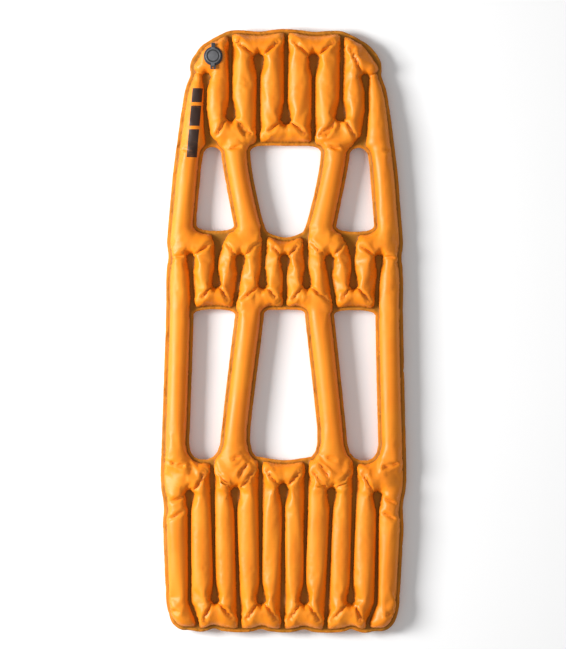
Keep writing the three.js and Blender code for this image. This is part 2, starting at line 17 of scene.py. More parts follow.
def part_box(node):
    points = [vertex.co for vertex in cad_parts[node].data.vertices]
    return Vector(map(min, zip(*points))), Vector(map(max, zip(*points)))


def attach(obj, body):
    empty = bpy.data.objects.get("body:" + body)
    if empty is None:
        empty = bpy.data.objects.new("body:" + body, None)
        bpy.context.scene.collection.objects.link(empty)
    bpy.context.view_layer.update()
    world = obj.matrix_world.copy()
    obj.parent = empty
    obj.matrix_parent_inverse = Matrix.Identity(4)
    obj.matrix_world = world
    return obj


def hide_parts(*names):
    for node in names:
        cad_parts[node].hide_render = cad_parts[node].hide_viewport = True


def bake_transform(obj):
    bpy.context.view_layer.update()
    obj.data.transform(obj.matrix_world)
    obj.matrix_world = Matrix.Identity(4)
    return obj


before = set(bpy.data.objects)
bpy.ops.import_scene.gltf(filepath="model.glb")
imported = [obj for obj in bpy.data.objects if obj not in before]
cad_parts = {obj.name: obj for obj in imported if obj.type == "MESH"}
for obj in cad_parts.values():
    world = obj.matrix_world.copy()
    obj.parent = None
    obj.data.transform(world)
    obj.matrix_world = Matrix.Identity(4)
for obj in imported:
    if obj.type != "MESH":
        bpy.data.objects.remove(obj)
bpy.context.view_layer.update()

bl_info = {
    "name": "Inflated sleeping pad",
    "version": (1, 0, 0),
    "blender": (4, 5, 0),
    "location": "3D View > Sidebar > Sleeping pad",
    "description": "Builds the fabric, valve and studio of an inflated sleeping pad round its frame",
    "category": "Object",
}

mm = 0.001

# ---------------------------------------------------------------- places taken from the frame

UPPER_BOX = [np.array(corner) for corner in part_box("upper_film")]
LOWER_BOX = [np.array(corner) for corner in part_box("lower_film")]
GROUND = float(LOWER_BOX[0][2])
PAD_TOP = float(UPPER_BOX[1][2])
WELD_PLANE = (GROUND + PAD_TOP) / 2
COLLAR_BOX = [np.array(corner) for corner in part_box("valve_collar")]
FLAP_BOX = [np.array(corner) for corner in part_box("check_flap")]
LID_BOX = [np.array(corner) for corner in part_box("deflate_lid")]
CAP_BOX = [np.array(corner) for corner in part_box("inflate_cap")]
CLEARANCE = 0.3 * mm
VALVE = np.array([
    (FLAP_BOX[0][0] + FLAP_BOX[1][0]) / 2,
    (FLAP_BOX[0][1] + FLAP_BOX[1][1]) / 2,
    COLLAR_BOX[0][2] - CLEARANCE,
])

# ---------------------------------------------------------------- plan of the pad, in millimetres, right half

# Outline from the head's middle to the foot's middle. Each passage between two weld roots pulls the hem in.
HEM = [
    (0, 533), (24, 531), (48.5, 527), (74, 530), (98.9, 530), (116, 522), (134, 513), (152, 500), (168, 477),
    (170, 461), (167, 452), (178, 427), (185, 381), (191, 335), (199, 275), (202.5, 228), (207, 178),
    (209, 150), (204.5, 129),
    (209.4, 106), (208.8, 33), (211, -41), (213, -116), (216, -214), (217.5, -275), (210, -307), (213, -345),
    (211, -378), (207, -459), (205, -491), (197, -517), (180, -530), (162, -529), (146, -533), (133, -530),
    (120, -525), (108, -531), (74, -533), (50, -531), (38, -525.5), (24, -531), (0, -533),
]
# Windows: beside the rail, and between the two struts.
UPPER_SIDE_WINDOW = [
    (88.5, 175.6), (156.8, 175.6), (156, 199), (151.3, 256), (147, 304), (142, 320), (128, 325), (114, 318),
    (113, 304), (104.5, 256), (92.9, 199),
]
UPPER_MIDDLE_WINDOW = [(0, 163), (25, 170), (36, 178), (54.4, 256), (61.9, 300), (62.5, 327), (0, 326)]
LOWER_SIDE_WINDOW = [
    (86, 37), (160.4, 37), (160.4, 16), (165, -153), (167.8, -228), (115, -228), (108, -153), (89, 16),
]
LOWER_MIDDLE_WINDOW = [(0, 37), (36, 37), (36.4, 19), (50.6, -95), (64, -219), (25, -226), (0, -229)]
# Weld lines of each section, outwards from the middle: (x, y, half width) from the root to the rounded end.
HEAD_WELDS = [
    [(0, 545, 3.2), (0, 404, 2.4), (0, 373, 8.8)],
    [(48.5, 318, 6), (48.5, 340, 3), (48.5, 448, 2.4), (48.5, 479, 9)],
    [(98.9, 545, 3.2), (97.3, 408, 2.4), (96.9, 377.7, 8.5)],
    [(128, 320, 13), (138, 345, 5), (143, 390, 2.6), (142, 424, 2.6), (140, 446.6, 7)],
]
WAIST_WELDS = [
    [(0, 25, 5), (0, 50, 3), (0, 98, 2.4), (0, 126, 8)],
    [(36.5, 178, 7), (36.8, 150, 4), (38.3, 110, 2.8), (38.9, 82, 7.5)],
    [(91, 25, 6), (88, 44, 3.7), (80, 98, 2.4), (78.5, 126, 8)],
    [(113, 182, 19), (116, 165, 13), (118, 148, 7), (120, 128, 3), (121, 108, 2.6), (121.3, 82, 7.5)],
    [(160.5, 25, 7), (162.6, 55, 3.5), (165.6, 102, 2.6), (166.3, 128, 7)],
]
FOOT_WELDS = [
    [(0, -545, 3.2), (0, -309, 2.4), (0, -278.3, 8.5)],
    [(41, -222, 5), (40.9, -249, 3), (38.6, -446, 2.4), (38, -474.8, 7.5)],
    [(74, -545, 4), (77, -500, 2.6), (79, -463, 2.4), (84.4, -314, 2.4), (85, -284.5, 8)],
    [(127, -222, 6), (126, -240, 3.6), (120.6, -446, 2.4), (119.8, -474.8, 7)],
    [(146, -545, 4), (152, -510, 2.6), (164, -480, 2.4), (165.6, -317, 2.4), (165.6, -289.5, 7.5)],
]
# Where the tubes of each section end: on its head side and on its foot side.
HEAD_ENDS = (521, 334)
WAIST_ENDS = (166, 41)
FOOT_ENDS = (-234, -521)
# Wide folded bands of film at the head's corners, and the pinch where each rail begins.
CORNER_WELDS = [
    [(120, 520, 2), (140, 507, 6), (157, 489, 7.5), (169, 470, 7)],
    [(172, 459, 6), (160, 455, 1.2)],
]
# Creases beside the sections: across the rail, at the neck corner, the waist, the hip and the toe.
RAIL_CREASES = [
    [(146, 450), (168, 458)], [(171, 131), (206, 129)], [(172, -292), (212, -307)],
    [(176, -318), (212, -340)], [(176, 318), (195, 322)], [(178, -238), (208, -230)],
    [(185, -498), (203, -482)],
]
# Small creases where a strut meets the head and the foot.
STRUT_CREASES = [
    [(71, 344), (83, 361)], [(82, 323), (95, 320)], [(65, -236), (77, -252)], [(79, -222), (89, -226)],
]
HEM_WIDTH = 6.5 * mm
WEB_WIDTH = 6 * mm
# A crease goes this share of the way from a weld's rounded end to the pillow's corner. Its flanks are as
# wide as this share of the tube's half width, which counts up to the widest.
CREASE_SHARE = 0.8
CREASE_SLOPE = 0.45
WIDEST_SLOPE = 20 * mm
# Round the valve no weld but the hem comes nearer than the room, and the film is flat under the collar.
VALVE_ROOM = 24 * mm
VALVE_SEAT_RADIUS = 17.5 * mm
VALVE_SEAT_BLEND = 12 * mm
VALVE_HOLE = 13 * mm

# ---------------------------------------------------------------- how the films are meshed and blown up

# Mesh points: pitch across and along in mesh steps, shake in pitches, room beside an outline in steps.
PITCH = (0.88, 1.2)
SHAKE = 0.12
EDGE_GAP = 0.45
# Climb from a point to its tube's ridge, and the narrowest half width that is taken.
CLIMB = 2 * mm
CLIMB_STEPS = 14
NARROWEST = 6 * mm
# A point nearer to its seam than this is on the seam.
ON_SEAM = 0.15 * mm
# Extra length: how far it reaches from a section's end, from a crease and from a seam, and its small shares.
TURN_REACH = 34 * mm
PUCKER_REACH = 11 * mm
SEAM_PUCKER_REACH = 4 * mm
SEAM_PUCKER = 0.1
HEM_FULLNESS = 0.1
# How firmly the bottom of a crease is held, and how far from it.
CREASE_HOLD = 0.9
CREASE_HELD_WITHIN = 1.8 * mm
# Unevenness given to the film before the air, and the furthest that the air moves a point.
TURN_NOISE = 0.12 * mm
HEM_NOISE = 0.5 * mm
MOVE_CAP = 14 * mm
# Colours: reach of the painted shade beside a seam, width of a weld's edge and of the hem's fade.
GROOVE_SHADE_REACH = 2.2 * mm
WELD_EDGE = 0.8 * mm
HEM_FADE = 3 * mm
# How far above the ground the lower film stays.
LOWEST = 0.3 * mm
CLOTH = {
    "quality": 5, "mass": 0.3, "tension_stiffness": 35, "compression_stiffness": 35, "shear_stiffness": 12,
    "bending_stiffness": 0.06, "air_damping": 2, "use_pressure": True, "shrink_max": 0,
}

# ---------------------------------------------------------------- settings


def length(name, description, default):
    """Setting that is a length."""
    return FloatProperty(name=name, description=description, default=default, unit="LENGTH")


def share(name, description, default, low, high):
    """Setting that is a share of one."""
    return FloatProperty(
        name=name, description=description, default=default, min=low, max=high, subtype="FACTOR")


def tint(name, description, *default):
    """Setting that is a colour."""
    return FloatVectorProperty(name=name, description=description, default=default, subtype="COLOR")


class FabricSettings(bpy.types.PropertyGroup):
    """Sizes and colours of the two films."""

    mesh_step: length("Mesh step", "Distance between mesh points", 3.3 * mm)
    film: length("Film", "Thickness of one coated film", 0.35 * mm)
    crown: length("Crown", "Height of a full tube above the weld plane", PAD_TOP - WELD_PLANE - 0.4 * mm)
    crease: share("Crease", "Share of the tube's flank left at the bottom of a crease", 0.3, 0.1, 1)
    slack: share("Slack", "Extra length of the film beside the creases", 0.12, 0, 0.5)
    pressure: FloatProperty(name="Pressure", description="Air pressure in the simulation", default=30)
    steps: IntProperty(name="Steps", description="Simulation steps", default=12, min=2, max=40)
    body: tint("Fabric", "Colour of the coated fabric", 0.84, 0.225, 0.005)
    light: tint("Faded fabric", "Colour where the fabric is stretched thin", 0.92, 0.30, 0.010)
    # Crevice is painted shade: the dark colour that stands in for the shade down in the grooves between the
    # tubes. The ripstop lines take a faint tint of it too.
    deep: tint("Crevice", "Colour down in the grooves", 0.15, 0.028, 0.0006)
    # Weld is the welded film's own flatter tone, darkened further as painted shade from the tubes beside the
    # welds.
    weld: tint("Weld", "Colour of the welded strips", 0.3, 0.12, 0.003)
    hem: tint("Hem", "Colour of the rim of the outline and of the windows", 0.52, 0.18, 0.006)
    mark: tint("Mark", "Colour of the printed bars", 0.012, 0.011, 0.012)


class ValveSettings(bpy.types.PropertyGroup):
    """Sizes and colours of the valve."""

    softness: length("Edge radius", "Radius of the moulded edges", 0.28 * mm)
    sides: IntProperty(name="Sides", description="Steps round a turned piece", default=96, min=16, max=256)
    dark: tint("Dark polymer", "Collar and lid", 0.032, 0.038, 0.05)
    grey: tint("Grey polymer", "Cap", 0.12, 0.12, 0.128)
    silicone: tint("Silicone", "Seals and flap", 0.42, 0.42, 0.40)


class StageSettings(bpy.types.PropertyGroup):
    """Floor, lights and camera."""

    floor_size: length("Floor", "Side of the floor", 8)
    camera_height: length("Camera height", "Camera above the ground", 3.6)
    view_height: length("View height", "Stretch of the weld plane that the camera sees", 1.1455)
    key_power: FloatProperty(
        name="Key light", description="Power of the light at the left", default=180, unit="POWER")
    fill_power: FloatProperty(
        name="Fill light", description="Power of the light above", default=16, unit="POWER")


# ---------------------------------------------------------------- outlines

def rounded(points, rounds=2):
    """Closed outline with its corners cut: each side keeps its points at 1/4 and 3/4, round after round."""
    loop = np.array(points, float)
    for _ in range(rounds):
        following = np.roll(loop, -1, 0)
        loop = np.stack([loop * 0.75 + following * 0.25, loop * 0.25 + following * 0.75], 1).reshape(-1, 2)
    return loop


def both_halves(half):
    """Closed outline from its right half, whose first and last points stand on the middle line."""
    right = np.array(half, float)
    left = right[::-1] * [-1, 1]
    return np.vstack([right, left[np.abs(left[:, 0]) > 1e-6]])


def spaced(loop, step):
    """Points along a closed outline, a step apart."""
    closed = np.vstack([loop, loop[:1]])
    along = np.r_[0, np.cumsum(np.linalg.norm(np.diff(closed, axis=0), axis=1))]
    at = np.linspace(0, along[-1], max(12, round(along[-1] / step)), endpoint=False)
    return np.stack([np.interp(at, along, closed[:, k]) for k in (0, 1)], 1)


def mirrored_welds(lines):
    """Weld lines of both halves, ordered from left to right, in metres."""
    right = [np.array(line, float) * mm for line in lines]
    left = [line * [-1, 1, 1] for line in right if line[0][0] > 0]
    return sorted(left + right, key=lambda line: line[-1][0])


def nearest(points, starts, ends, start_widths=None, end_widths=None):
    """Distance from each point to the nearest segment, less the segment's half width there."""
    best = np.full(len(points), np.inf)
    if start_widths is None:
        start_widths = end_widths = np.zeros(len(starts))
    for start, end, wide, narrow in zip(starts, ends, start_widths, end_widths):
        run = end - start
        t = np.clip((points - start) @ run / max(run @ run, 1e-18), 0, 1)
        gap = np.linalg.norm(points - (start + t[:, None] * run), axis=1) - (wide + (narrow - wide) * t)
        best = np.minimum(best, gap)
    return best


def inside(points, loop):
    """Which points lie inside a closed outline, by how often a ray to the right crosses it."""
    x, y = points.T
    within = np.zeros(len(points), bool)
    for (x0, y0), (x1, y1) in zip(loop, np.roll(loop, -1, 0)):
        if y0 != y1:
            within ^= ((y0 > y) != (y1 > y)) & (x < (x1 - x0) * (y - y0) / (y1 - y0) + x0)
    return within


def side_distance(points, loop):
    """Distance to a closed outline, positive inside it."""
    gap = nearest(points, loop, np.roll(loop, -1, 0))
    return np.where(inside(points, loop), gap, -gap)


class Plan:
    """Distances over the flat plan, kept on a grid: to the hem or a window's rim, and to the nearest seam.

    Both are positive on the side that holds air, so a tube is a ridge of the seam distance.
    """

    CELL = 2.5 * mm

    def __init__(self):
        self.hem = rounded(both_halves(HEM)) * mm
        middle = [rounded(both_halves(half)) * mm for half in (UPPER_MIDDLE_WINDOW, LOWER_MIDDLE_WINDOW)]
        side = [rounded(window) * mm for window in (UPPER_SIDE_WINDOW, LOWER_SIDE_WINDOW)]
        self.windows = middle + side + [window[::-1] * [-1, 1] for window in side]
        self.sections = [
            (mirrored_welds(lines), np.array(ends) * mm)
            for lines, ends in ((HEAD_WELDS, HEAD_ENDS), (WAIST_WELDS, WAIST_ENDS), (FOOT_WELDS, FOOT_ENDS))
        ]
        self.low = self.hem.min(0) - 2 * self.CELL
        counts = np.ceil((self.hem.max(0) + 2 * self.CELL - self.low) / self.CELL).astype(int) + 1
        axes = [self.low[k] + self.CELL * np.arange(counts[k]) for k in (0, 1)]
        points = np.stack([axis.ravel() for axis in np.meshgrid(*axes, indexing="ij")], 1)
        rim = side_distance(points, self.hem)
        seam = rim - HEM_WIDTH
        for window in self.windows:
            outside = -side_distance(points, window)
            rim = np.minimum(rim, outside)
            seam = np.minimum(seam, outside - WEB_WIDTH)
        starts, ends, wide, narrow = [], [], [], []
        for lines in [lines for lines, _ in self.sections] + [mirrored_welds(CORNER_WELDS)]:
            for line in lines:
                starts.extend(line[:-1, :2])
                ends.extend(line[1:, :2])
                wide.extend(line[:-1, 2])
                narrow.extend(line[1:, 2])
        room = np.minimum(seam, VALVE_ROOM - np.linalg.norm(points - VALVE[:2], axis=1))
        seam = np.minimum(seam, nearest(points, np.array(starts), np.array(ends), wide, narrow))
        seam = np.maximum(seam, room)
        self.rim = rim.reshape(counts)
        self.seam = seam.reshape(counts)

    def at(self, field, points):
        """Field read between its grid points, linearly both ways."""
        place = np.clip((points - self.low) / self.CELL, 0, np.array(field.shape) - 1.001)
        i, j = place.astype(int).T
        u, v = (place - place.astype(int)).T
        near = field[i, j] * (1 - u) + field[i + 1, j] * u
        far = field[i, j + 1] * (1 - u) + field[i + 1, j + 1] * u
        return near * (1 - v) + far * v

    def slope(self, points, reach=1.2 * mm):
        """Direction and steepness in which the seam distance grows."""
        across, along = np.array([reach, 0]), np.array([0, reach])
        dx = self.at(self.seam, points + across) - self.at(self.seam, points - across)
        dy = self.at(self.seam, points + along) - self.at(self.seam, points - along)
        return np.stack([dx, dy], 1) / (2 * reach)

    def creases(self):
        """Crease lines round each turn: from the weld's rounded end to the roots of the welds beside it."""
        lines = []
        for welds, ends in self.sections:
            for k, weld in enumerate(welds):
                x, y, radius = weld[-1]
                end = ends[np.argmax(np.abs(weld[0][1] - ends))]
                towards = math.copysign(1, end - y)
                for beside in welds[max(0, k - 1):k] + welds[k + 1:k + 2]:
                    side = math.copysign(1, beside[0][0] - x)
                    start = np.array([x + side * radius * 0.75, y + towards * radius * 0.4])
                    corner = np.array([beside[0][0] - side * 3 * mm, end - towards * 2 * mm])
                    lines.append((start, start + (corner - start) * CREASE_SHARE))
        for a, b in RAIL_CREASES + STRUT_CREASES:
            for sign in (1, -1):
                lines.append(((sign * a[0] * mm, a[1] * mm), (sign * b[0] * mm, b[1] * mm)))
        return np.array([a for a, _ in lines]), np.array([b for _, b in lines])


# ---------------------------------------------------------------- the films

class Sheet:
    """Triangles over the plan, with what each point needs to be inflated."""

    def __init__(self, plan, step, hole):
        self.plan = plan
        loops = [spaced(plan.hem, step)] + [spaced(window, step) for window in plan.windows]
        if hole:
            turn = np.linspace(0, 2 * np.pi, 40, endpoint=False)
            loops.append(VALVE[:2] + hole * np.stack([np.cos(turn), np.sin(turn)], 1))
        self.points = self.scattered(step, hole)
        chains = []
        first = 0
        for loop in loops:
            own = first + np.arange(len(loop))
            chains += list(zip(own.tolist(), np.roll(own, -1).tolist()))
            first += len(loop)
        everything = np.vstack(loops + [self.points])
        made = delaunay_2d_cdt([Vector(p) for p in everything], chains, [], 0, 1e-6)
        points = np.array([tuple(p) for p in made[0]])
        faces = np.array([face for face in made[2] if len(face) == 3])
        middle = points[faces].mean(1)
        kept = plan.at(plan.rim, middle) > 0
        if hole:
            kept &= np.linalg.norm(middle - VALVE[:2], axis=1) > hole * 0.999
        faces = faces[kept]
        used = np.unique(faces)
        index = np.zeros(len(points), int)
        index[used] = np.arange(len(used))
        self.points, faces = points[used], index[faces]
        first_side = self.points[faces[:, 1]] - self.points[faces[:, 0]]
        second_side = self.points[faces[:, 2]] - self.points[faces[:, 0]]
        turned_over = first_side[:, 0] * second_side[:, 1] < first_side[:, 1] * second_side[:, 0]
        faces[turned_over] = faces[turned_over][:, ::-1]
        self.faces = faces
        pairs = np.vstack([faces[:, [0, 1]], faces[:, [1, 2]], faces[:, [2, 0]]])
        self.edges = np.unique(np.sort(pairs, 1), axis=0)
        self.seam = plan.at(plan.seam, self.points)
        self.rim = plan.at(plan.rim, self.points)
        self.valve = np.linalg.norm(self.points - VALVE[:2], axis=1)

    def scattered(self, step, hole):
        """Staggered grid of points, shaken a little; those near a seam are pulled onto it."""
        plan = self.plan
        pitch = step * np.array(PITCH)
        low, high = plan.hem.min(0), plan.hem.max(0)
        axes = [np.arange(low[k], high[k], pitch[k]) for k in (0, 1)]
        x, y = np.meshgrid(*axes, indexing="ij")
        y = y + (np.arange(len(axes[0])) % 2)[:, None] * pitch[1] / 2
        points = np.stack([x.ravel(), y.ravel()], 1)
        points += np.random.default_rng(7).uniform(-SHAKE, SHAKE, points.shape) * pitch
        near = np.abs(plan.at(plan.seam, points)) < pitch[0] * 0.5
        seam_points = points[near]
        for _ in range(4):
            slope = plan.slope(seam_points)
            steep = np.maximum((slope ** 2).sum(1), 0.25)
            seam_points -= slope * (plan.at(plan.seam, seam_points) / steep)[:, None]
        _, first = np.unique(np.round(seam_points / (step * 0.55)), axis=0, return_index=True)
        points = np.vstack([points[~near], seam_points[first]])
        keep = plan.at(plan.rim, points) > step * EDGE_GAP
        if hole:
            keep &= np.linalg.norm(points - VALVE[:2], axis=1) > hole + step * EDGE_GAP
        return points[keep]

    def smoothed(self, values, where, rounds):
        """Values pulled halfway to the mean of their neighbours, a given number of times."""
        a, b = self.edges.T
        weight = where.astype(float)
        count = np.bincount(a, weight[b], len(values)) + np.bincount(b, weight[a], len(values))
        for _ in range(rounds):
            total = np.bincount(a, (values * weight)[b], len(values))
            total += np.bincount(b, (values * weight)[a], len(values))
            values = np.where(where & (count > 0), (values + total / np.maximum(count, 1)) / 2, values)
        return values

    def noise(self, seed, rounds=2):
        """Seeded random heights, smoothed over the mesh and scaled to a spread of one."""
        raw = np.random.default_rng(seed).normal(size=len(self.points))
        soft = self.smoothed(raw, np.ones(len(raw), bool), rounds)
        return soft / soft.std()

    def half_widths(self):
        """Half the chamber's width at each point: the seam distance at the ridge that the point climbs to."""
        plan, place = self.plan, self.points.copy()
        held = self.seam > 0
        widest = np.maximum(self.seam, 0)
        for _ in range(CLIMB_STEPS):
            slope = plan.slope(place)
            steep = np.maximum(np.linalg.norm(slope, axis=1), 0.3)
            place += slope * (CLIMB / steep * held)[:, None]
            widest = np.maximum(widest, plan.at(plan.seam, place))
        return np.maximum(self.smoothed(widest, held, 12), NARROWEST)

    def inflated(self, fabric):
        """Round tubes over the plan: (x, y) moves and z, with the seams at z = 0.

        A point's seam distance is its way round the tube, t from 0 at the seam to 1 at the crown. It stands
        width * (1 - cos(90 t)) in from the seam, height * sin(90 t) above it. Near a crease t is held down.
        """
        width = self.half_widths()
        held = self.seam > 0
        t = np.clip(self.seam / width, 0, 1)
        slope = self.plan.slope(self.points)
        slope /= np.maximum(np.linalg.norm(slope, axis=1), 1e-6)[:, None]
        inwards = (width * (1 - np.cos(t * np.pi / 2)) - np.maximum(self.seam, 0)) * held * (t < 1)
        flat = self.points + slope * inwards[:, None]
        self.crease_distance = nearest(flat, *self.plan.creases())
        flank = CREASE_SLOPE * np.minimum(width, WIDEST_SLOPE)
        held_down = fabric.crease + np.maximum(self.crease_distance, 0) / flank
        t = np.minimum(t, held_down)
        height = np.minimum(width, fabric.crown)
        z = height * np.sin(np.minimum(t, 1) * np.pi / 2) * held
        seat, blend = VALVE_SEAT_RADIUS, VALVE_SEAT_BLEND
        level = VALVE[2] - WELD_PLANE - fabric.film
        near = np.clip((seat + blend - self.valve) / blend, 0, 1)
        near = near * near * (3 - 2 * near)
        near = np.where(self.valve < seat, 1, near * np.clip(self.seam / (3 * mm), 0, 1))
        z = z * (1 - near) + level * near
        flat = flat * (1 - near[:, None]) + self.points * near[:, None]
        return np.column_stack([flat, z])

    def turn_zone(self):
        """How near a point is to a turn, from 0 in the straight runs to 1 at the section's end."""
        zone = np.zeros(len(self.points))
        y = self.points[:, 1]
        for _, (top, bottom) in self.plan.sections:
            for end, inwards in ((top, -1), (bottom, 1)):
                middle = end + inwards * TURN_REACH * 0.7
                zone = np.maximum(zone, np.exp(-((y - middle) / (TURN_REACH * 0.75)) ** 4))
        return zone


def weight_group(ob, name, weights):
    """Vertex group with its weights rounded to fiftieths."""
    group = ob.vertex_groups.new(name=name)
    steps = np.round(np.clip(weights, 0, 1) * 50) / 50
    for value in np.unique(steps[steps > 0]):
        group.add(np.nonzero(steps == value)[0].tolist(), float(value), "REPLACE")
    return group.name


def blown_up(sheet, start, fabric):
    """Where the cloth takes the film: pinned at its seams, fuller beside the creases, under air pressure."""
    me = bpy.data.meshes.new("film_in_the_air")
    me.from_pydata(start.tolist(), [], sheet.faces.tolist())
    ob = bpy.data.objects.new("film_in_the_air", me)
    bpy.context.scene.collection.objects.link(ob)
    seam = np.maximum(sheet.seam, 0)
    free_hem = (sheet.rim < HEM_WIDTH - 1.5 * mm) & (sheet.seam < -1 * mm)
    zone = sheet.turn_zone()
    fuller = np.exp(-(sheet.crease_distance / PUCKER_REACH) ** 2) * (0.3 + 0.7 * zone)
    fuller += SEAM_PUCKER * np.exp(-(seam / SEAM_PUCKER_REACH) ** 2)
    fuller = np.where(free_hem, HEM_FULLNESS, fuller * (sheet.seam > -0.5 * mm))
    pin = np.where((sheet.seam <= ON_SEAM) & ~free_hem, 1.0, 0.0)
    creased = (sheet.crease_distance < CREASE_HELD_WITHIN) & (sheet.seam > 0)
    pin = np.maximum(pin, CREASE_HOLD * creased)
    pin = np.maximum(pin, 1.0 * (sheet.valve < VALVE_SEAT_RADIUS))
    cloth = ob.modifiers.new("Cloth", "CLOTH")
    settings = cloth.settings
    settings.vertex_group_mass = weight_group(ob, "pin", pin)
    settings.vertex_group_pressure = weight_group(ob, "air", 1.0 * (sheet.seam > ON_SEAM))
    settings.vertex_group_shrink = weight_group(ob, "taut", 1 - fuller)
    settings.shrink_min = -fabric.slack
    for key, value in CLOTH.items():
        setattr(settings, key, value)
    settings.effector_weights.gravity = 0
    settings.uniform_pressure_force = fabric.pressure
    cloth.collision_settings.use_collision = False
    scene = bpy.context.scene
    cloth.point_cache.frame_start = 1
    cloth.point_cache.frame_end = fabric.steps
    for step in range(1, fabric.steps + 1):
        scene.frame_set(step)
    moved = ob.evaluated_get(bpy.context.evaluated_depsgraph_get()).data
    end = np.empty(len(start) * 3, np.float32)
    moved.vertices.foreach_get("co", end)
    end = end.reshape(-1, 3).astype(float)
    bpy.data.objects.remove(ob)
    bpy.data.meshes.remove(me)
    scene.frame_set(1)
    shift = end - start
    far = np.linalg.norm(shift, axis=1)
    return start + shift * np.minimum(1, MOVE_CAP / np.maximum(far, 1e-9))[:, None]


def film_piece(name, sheet, places, upwards, fabric, material):
    """One film as a piece: its triangles, the attributes that its material reads, and its thickness."""
    faces = sheet.faces if upwards else sheet.faces[:, ::-1]
    me = bpy.data.meshes.new(name)
    me.from_pydata(places.tolist(), [], faces.tolist())
    # groove: painted shade, strongest at a seam and fading over its reach, where shade falls between the
    # tubes.
    groove = np.exp(-np.maximum(sheet.seam, 0) / GROOVE_SHADE_REACH)
    welded = np.clip(0.5 - sheet.seam / WELD_EDGE, 0, 1)
    hem = np.clip((HEM_WIDTH - 0.5 * mm - sheet.rim) / HEM_FADE, 0, 1) * welded
    for attribute, values in (("groove", groove), ("welded", welded), ("hem", hem)):
        me.attributes.new(attribute, "FLOAT", "POINT").data.foreach_set("value", values.astype(np.float32))
    cut = me.uv_layers.new(name="cut")
    cut.data.foreach_set("uv", sheet.points[faces.ravel()].astype(np.float32).ravel())
    me.shade_smooth()
    me.materials.append(material)
    ob = bpy.data.objects.new(name, me)
    bpy.context.scene.collection.objects.link(ob)
    wall = ob.modifiers.new("Film", "SOLIDIFY")
    wall.thickness = fabric.film
    wall.offset = -1
    return ob


# ---------------------------------------------------------------- turned and swept shapes

def soft_profile(profile, radius, steps=5):
    """Closed profile of (radius, height) points, with each corner off the axis made a parabola's arc."""
    corner = np.array(profile, float) * mm
    arms = []
    for shift in (1, -1):
        way = np.roll(corner, shift, 0) - corner
        run = np.linalg.norm(way, axis=1)
        reach = np.where(corner[:, 0] < 1e-9, 0, np.minimum(radius, run * 0.4))
        arms.append(corner + way * (reach / run)[:, None])
    t = np.linspace(0, 1, steps)[None, :, None]
    before, after = arms[0][:, None], arms[1][:, None]
    curve = (1 - t) ** 2 * before + 2 * t * (1 - t) * corner[:, None] + t ** 2 * after
    return curve.reshape(-1, 2)


def grid_faces(rows, columns, round_rows, round_columns):
    """Quads of a grid of rows and columns of points, closed one way or both."""
    i, j = np.meshgrid(
        np.arange(rows if round_rows else rows - 1),
        np.arange(columns if round_columns else columns - 1), indexing="ij")
    i2, j2 = (i + 1) % rows, (j + 1) % columns
    corners = [i * columns + j, i2 * columns + j, i2 * columns + j2, i * columns + j2]
    return np.stack([corner.ravel() for corner in corners], 1).tolist()


def turned(profile, valve, softness=None):
    """Profile turned about the valve's axis: (r, z) becomes (r cos a, r sin a, z)."""
    outline = soft_profile(profile, valve.softness if softness is None else softness)
    angle = np.linspace(0, 2 * np.pi, valve.sides, endpoint=False)[:, None]
    r, z = outline[None, :, 0], outline[None, :, 1]
    points = np.stack([r * np.cos(angle), r * np.sin(angle), z + 0 * angle], 2)
    return points.reshape(-1, 3) + VALVE, grid_faces(valve.sides, len(outline), True, True)


def ring(radius, height, section, valve):
    """Round ring about the valve's axis: a circle of the section's radius, turned."""
    around = np.linspace(0, 2 * np.pi, valve.sides, endpoint=False)[:, None]
    about = np.linspace(0, 2 * np.pi, 16, endpoint=False)[None, :]
    r = radius + section * np.cos(about)
    z = height + section * np.sin(about) + 0 * around
    points = np.stack([r * np.cos(around), r * np.sin(around), z], 2)
    return points.reshape(-1, 3) * mm + VALVE, grid_faces(valve.sides, 16, True, True)


def swept(path, side, width, thickness, square=5.0, section_points=24):
    """Strap along a path: the section |a|^square + |b|^square = 1, with a across and b through the strap.

    The section turns with the path and shrinks over the last stations at each end, so that the ends are soft.
    """
    path = np.array(path, float)
    along = np.gradient(path, axis=0)
    along /= np.linalg.norm(along, axis=1)[:, None]
    side = np.array(side, float)
    through = np.cross(along, side)
    ends = along[[0, -1]] * 0.22
    path = np.vstack([path[0] - ends[0] * 0.5, path[0], path[1:-1], path[-1], path[-1] + ends[1] * 0.5])
    through = np.vstack([through[:1], through, through[-1:]])
    shrink = np.ones(len(path))
    shrink[[0, -1]] = 0.8
    angle = np.linspace(0, 2 * np.pi, section_points, endpoint=False)
    c, s = np.cos(angle), np.sin(angle)
    across = np.sign(c) * np.abs(c) ** (2 / square) * width / 2
    up = np.sign(s) * np.abs(s) ** (2 / square) * thickness / 2
    inset = (1 - shrink)[:, None] * thickness
    a = across[None] - np.sign(across)[None] * np.minimum(inset, np.abs(across)[None])
    b = up[None] * shrink[:, None]
    points = path[:, None] + a[..., None] * side + b[..., None] * through[:, None]
    faces = grid_faces(len(path), section_points, False, True)
    last = (len(path) - 1) * section_points
    faces.append(list(range(section_points)))
    faces.append([last + k for k in reversed(range(section_points))])
    return points.reshape(-1, 3) * mm + VALVE, faces


def bar(start, end, side, width, thickness, stations=6):
    """Straight swept strap from one point to another."""
    t = np.linspace(0, 1, stations)[:, None]
    return swept(np.array(start) * (1 - t) + np.array(end) * t, side, width, thickness)


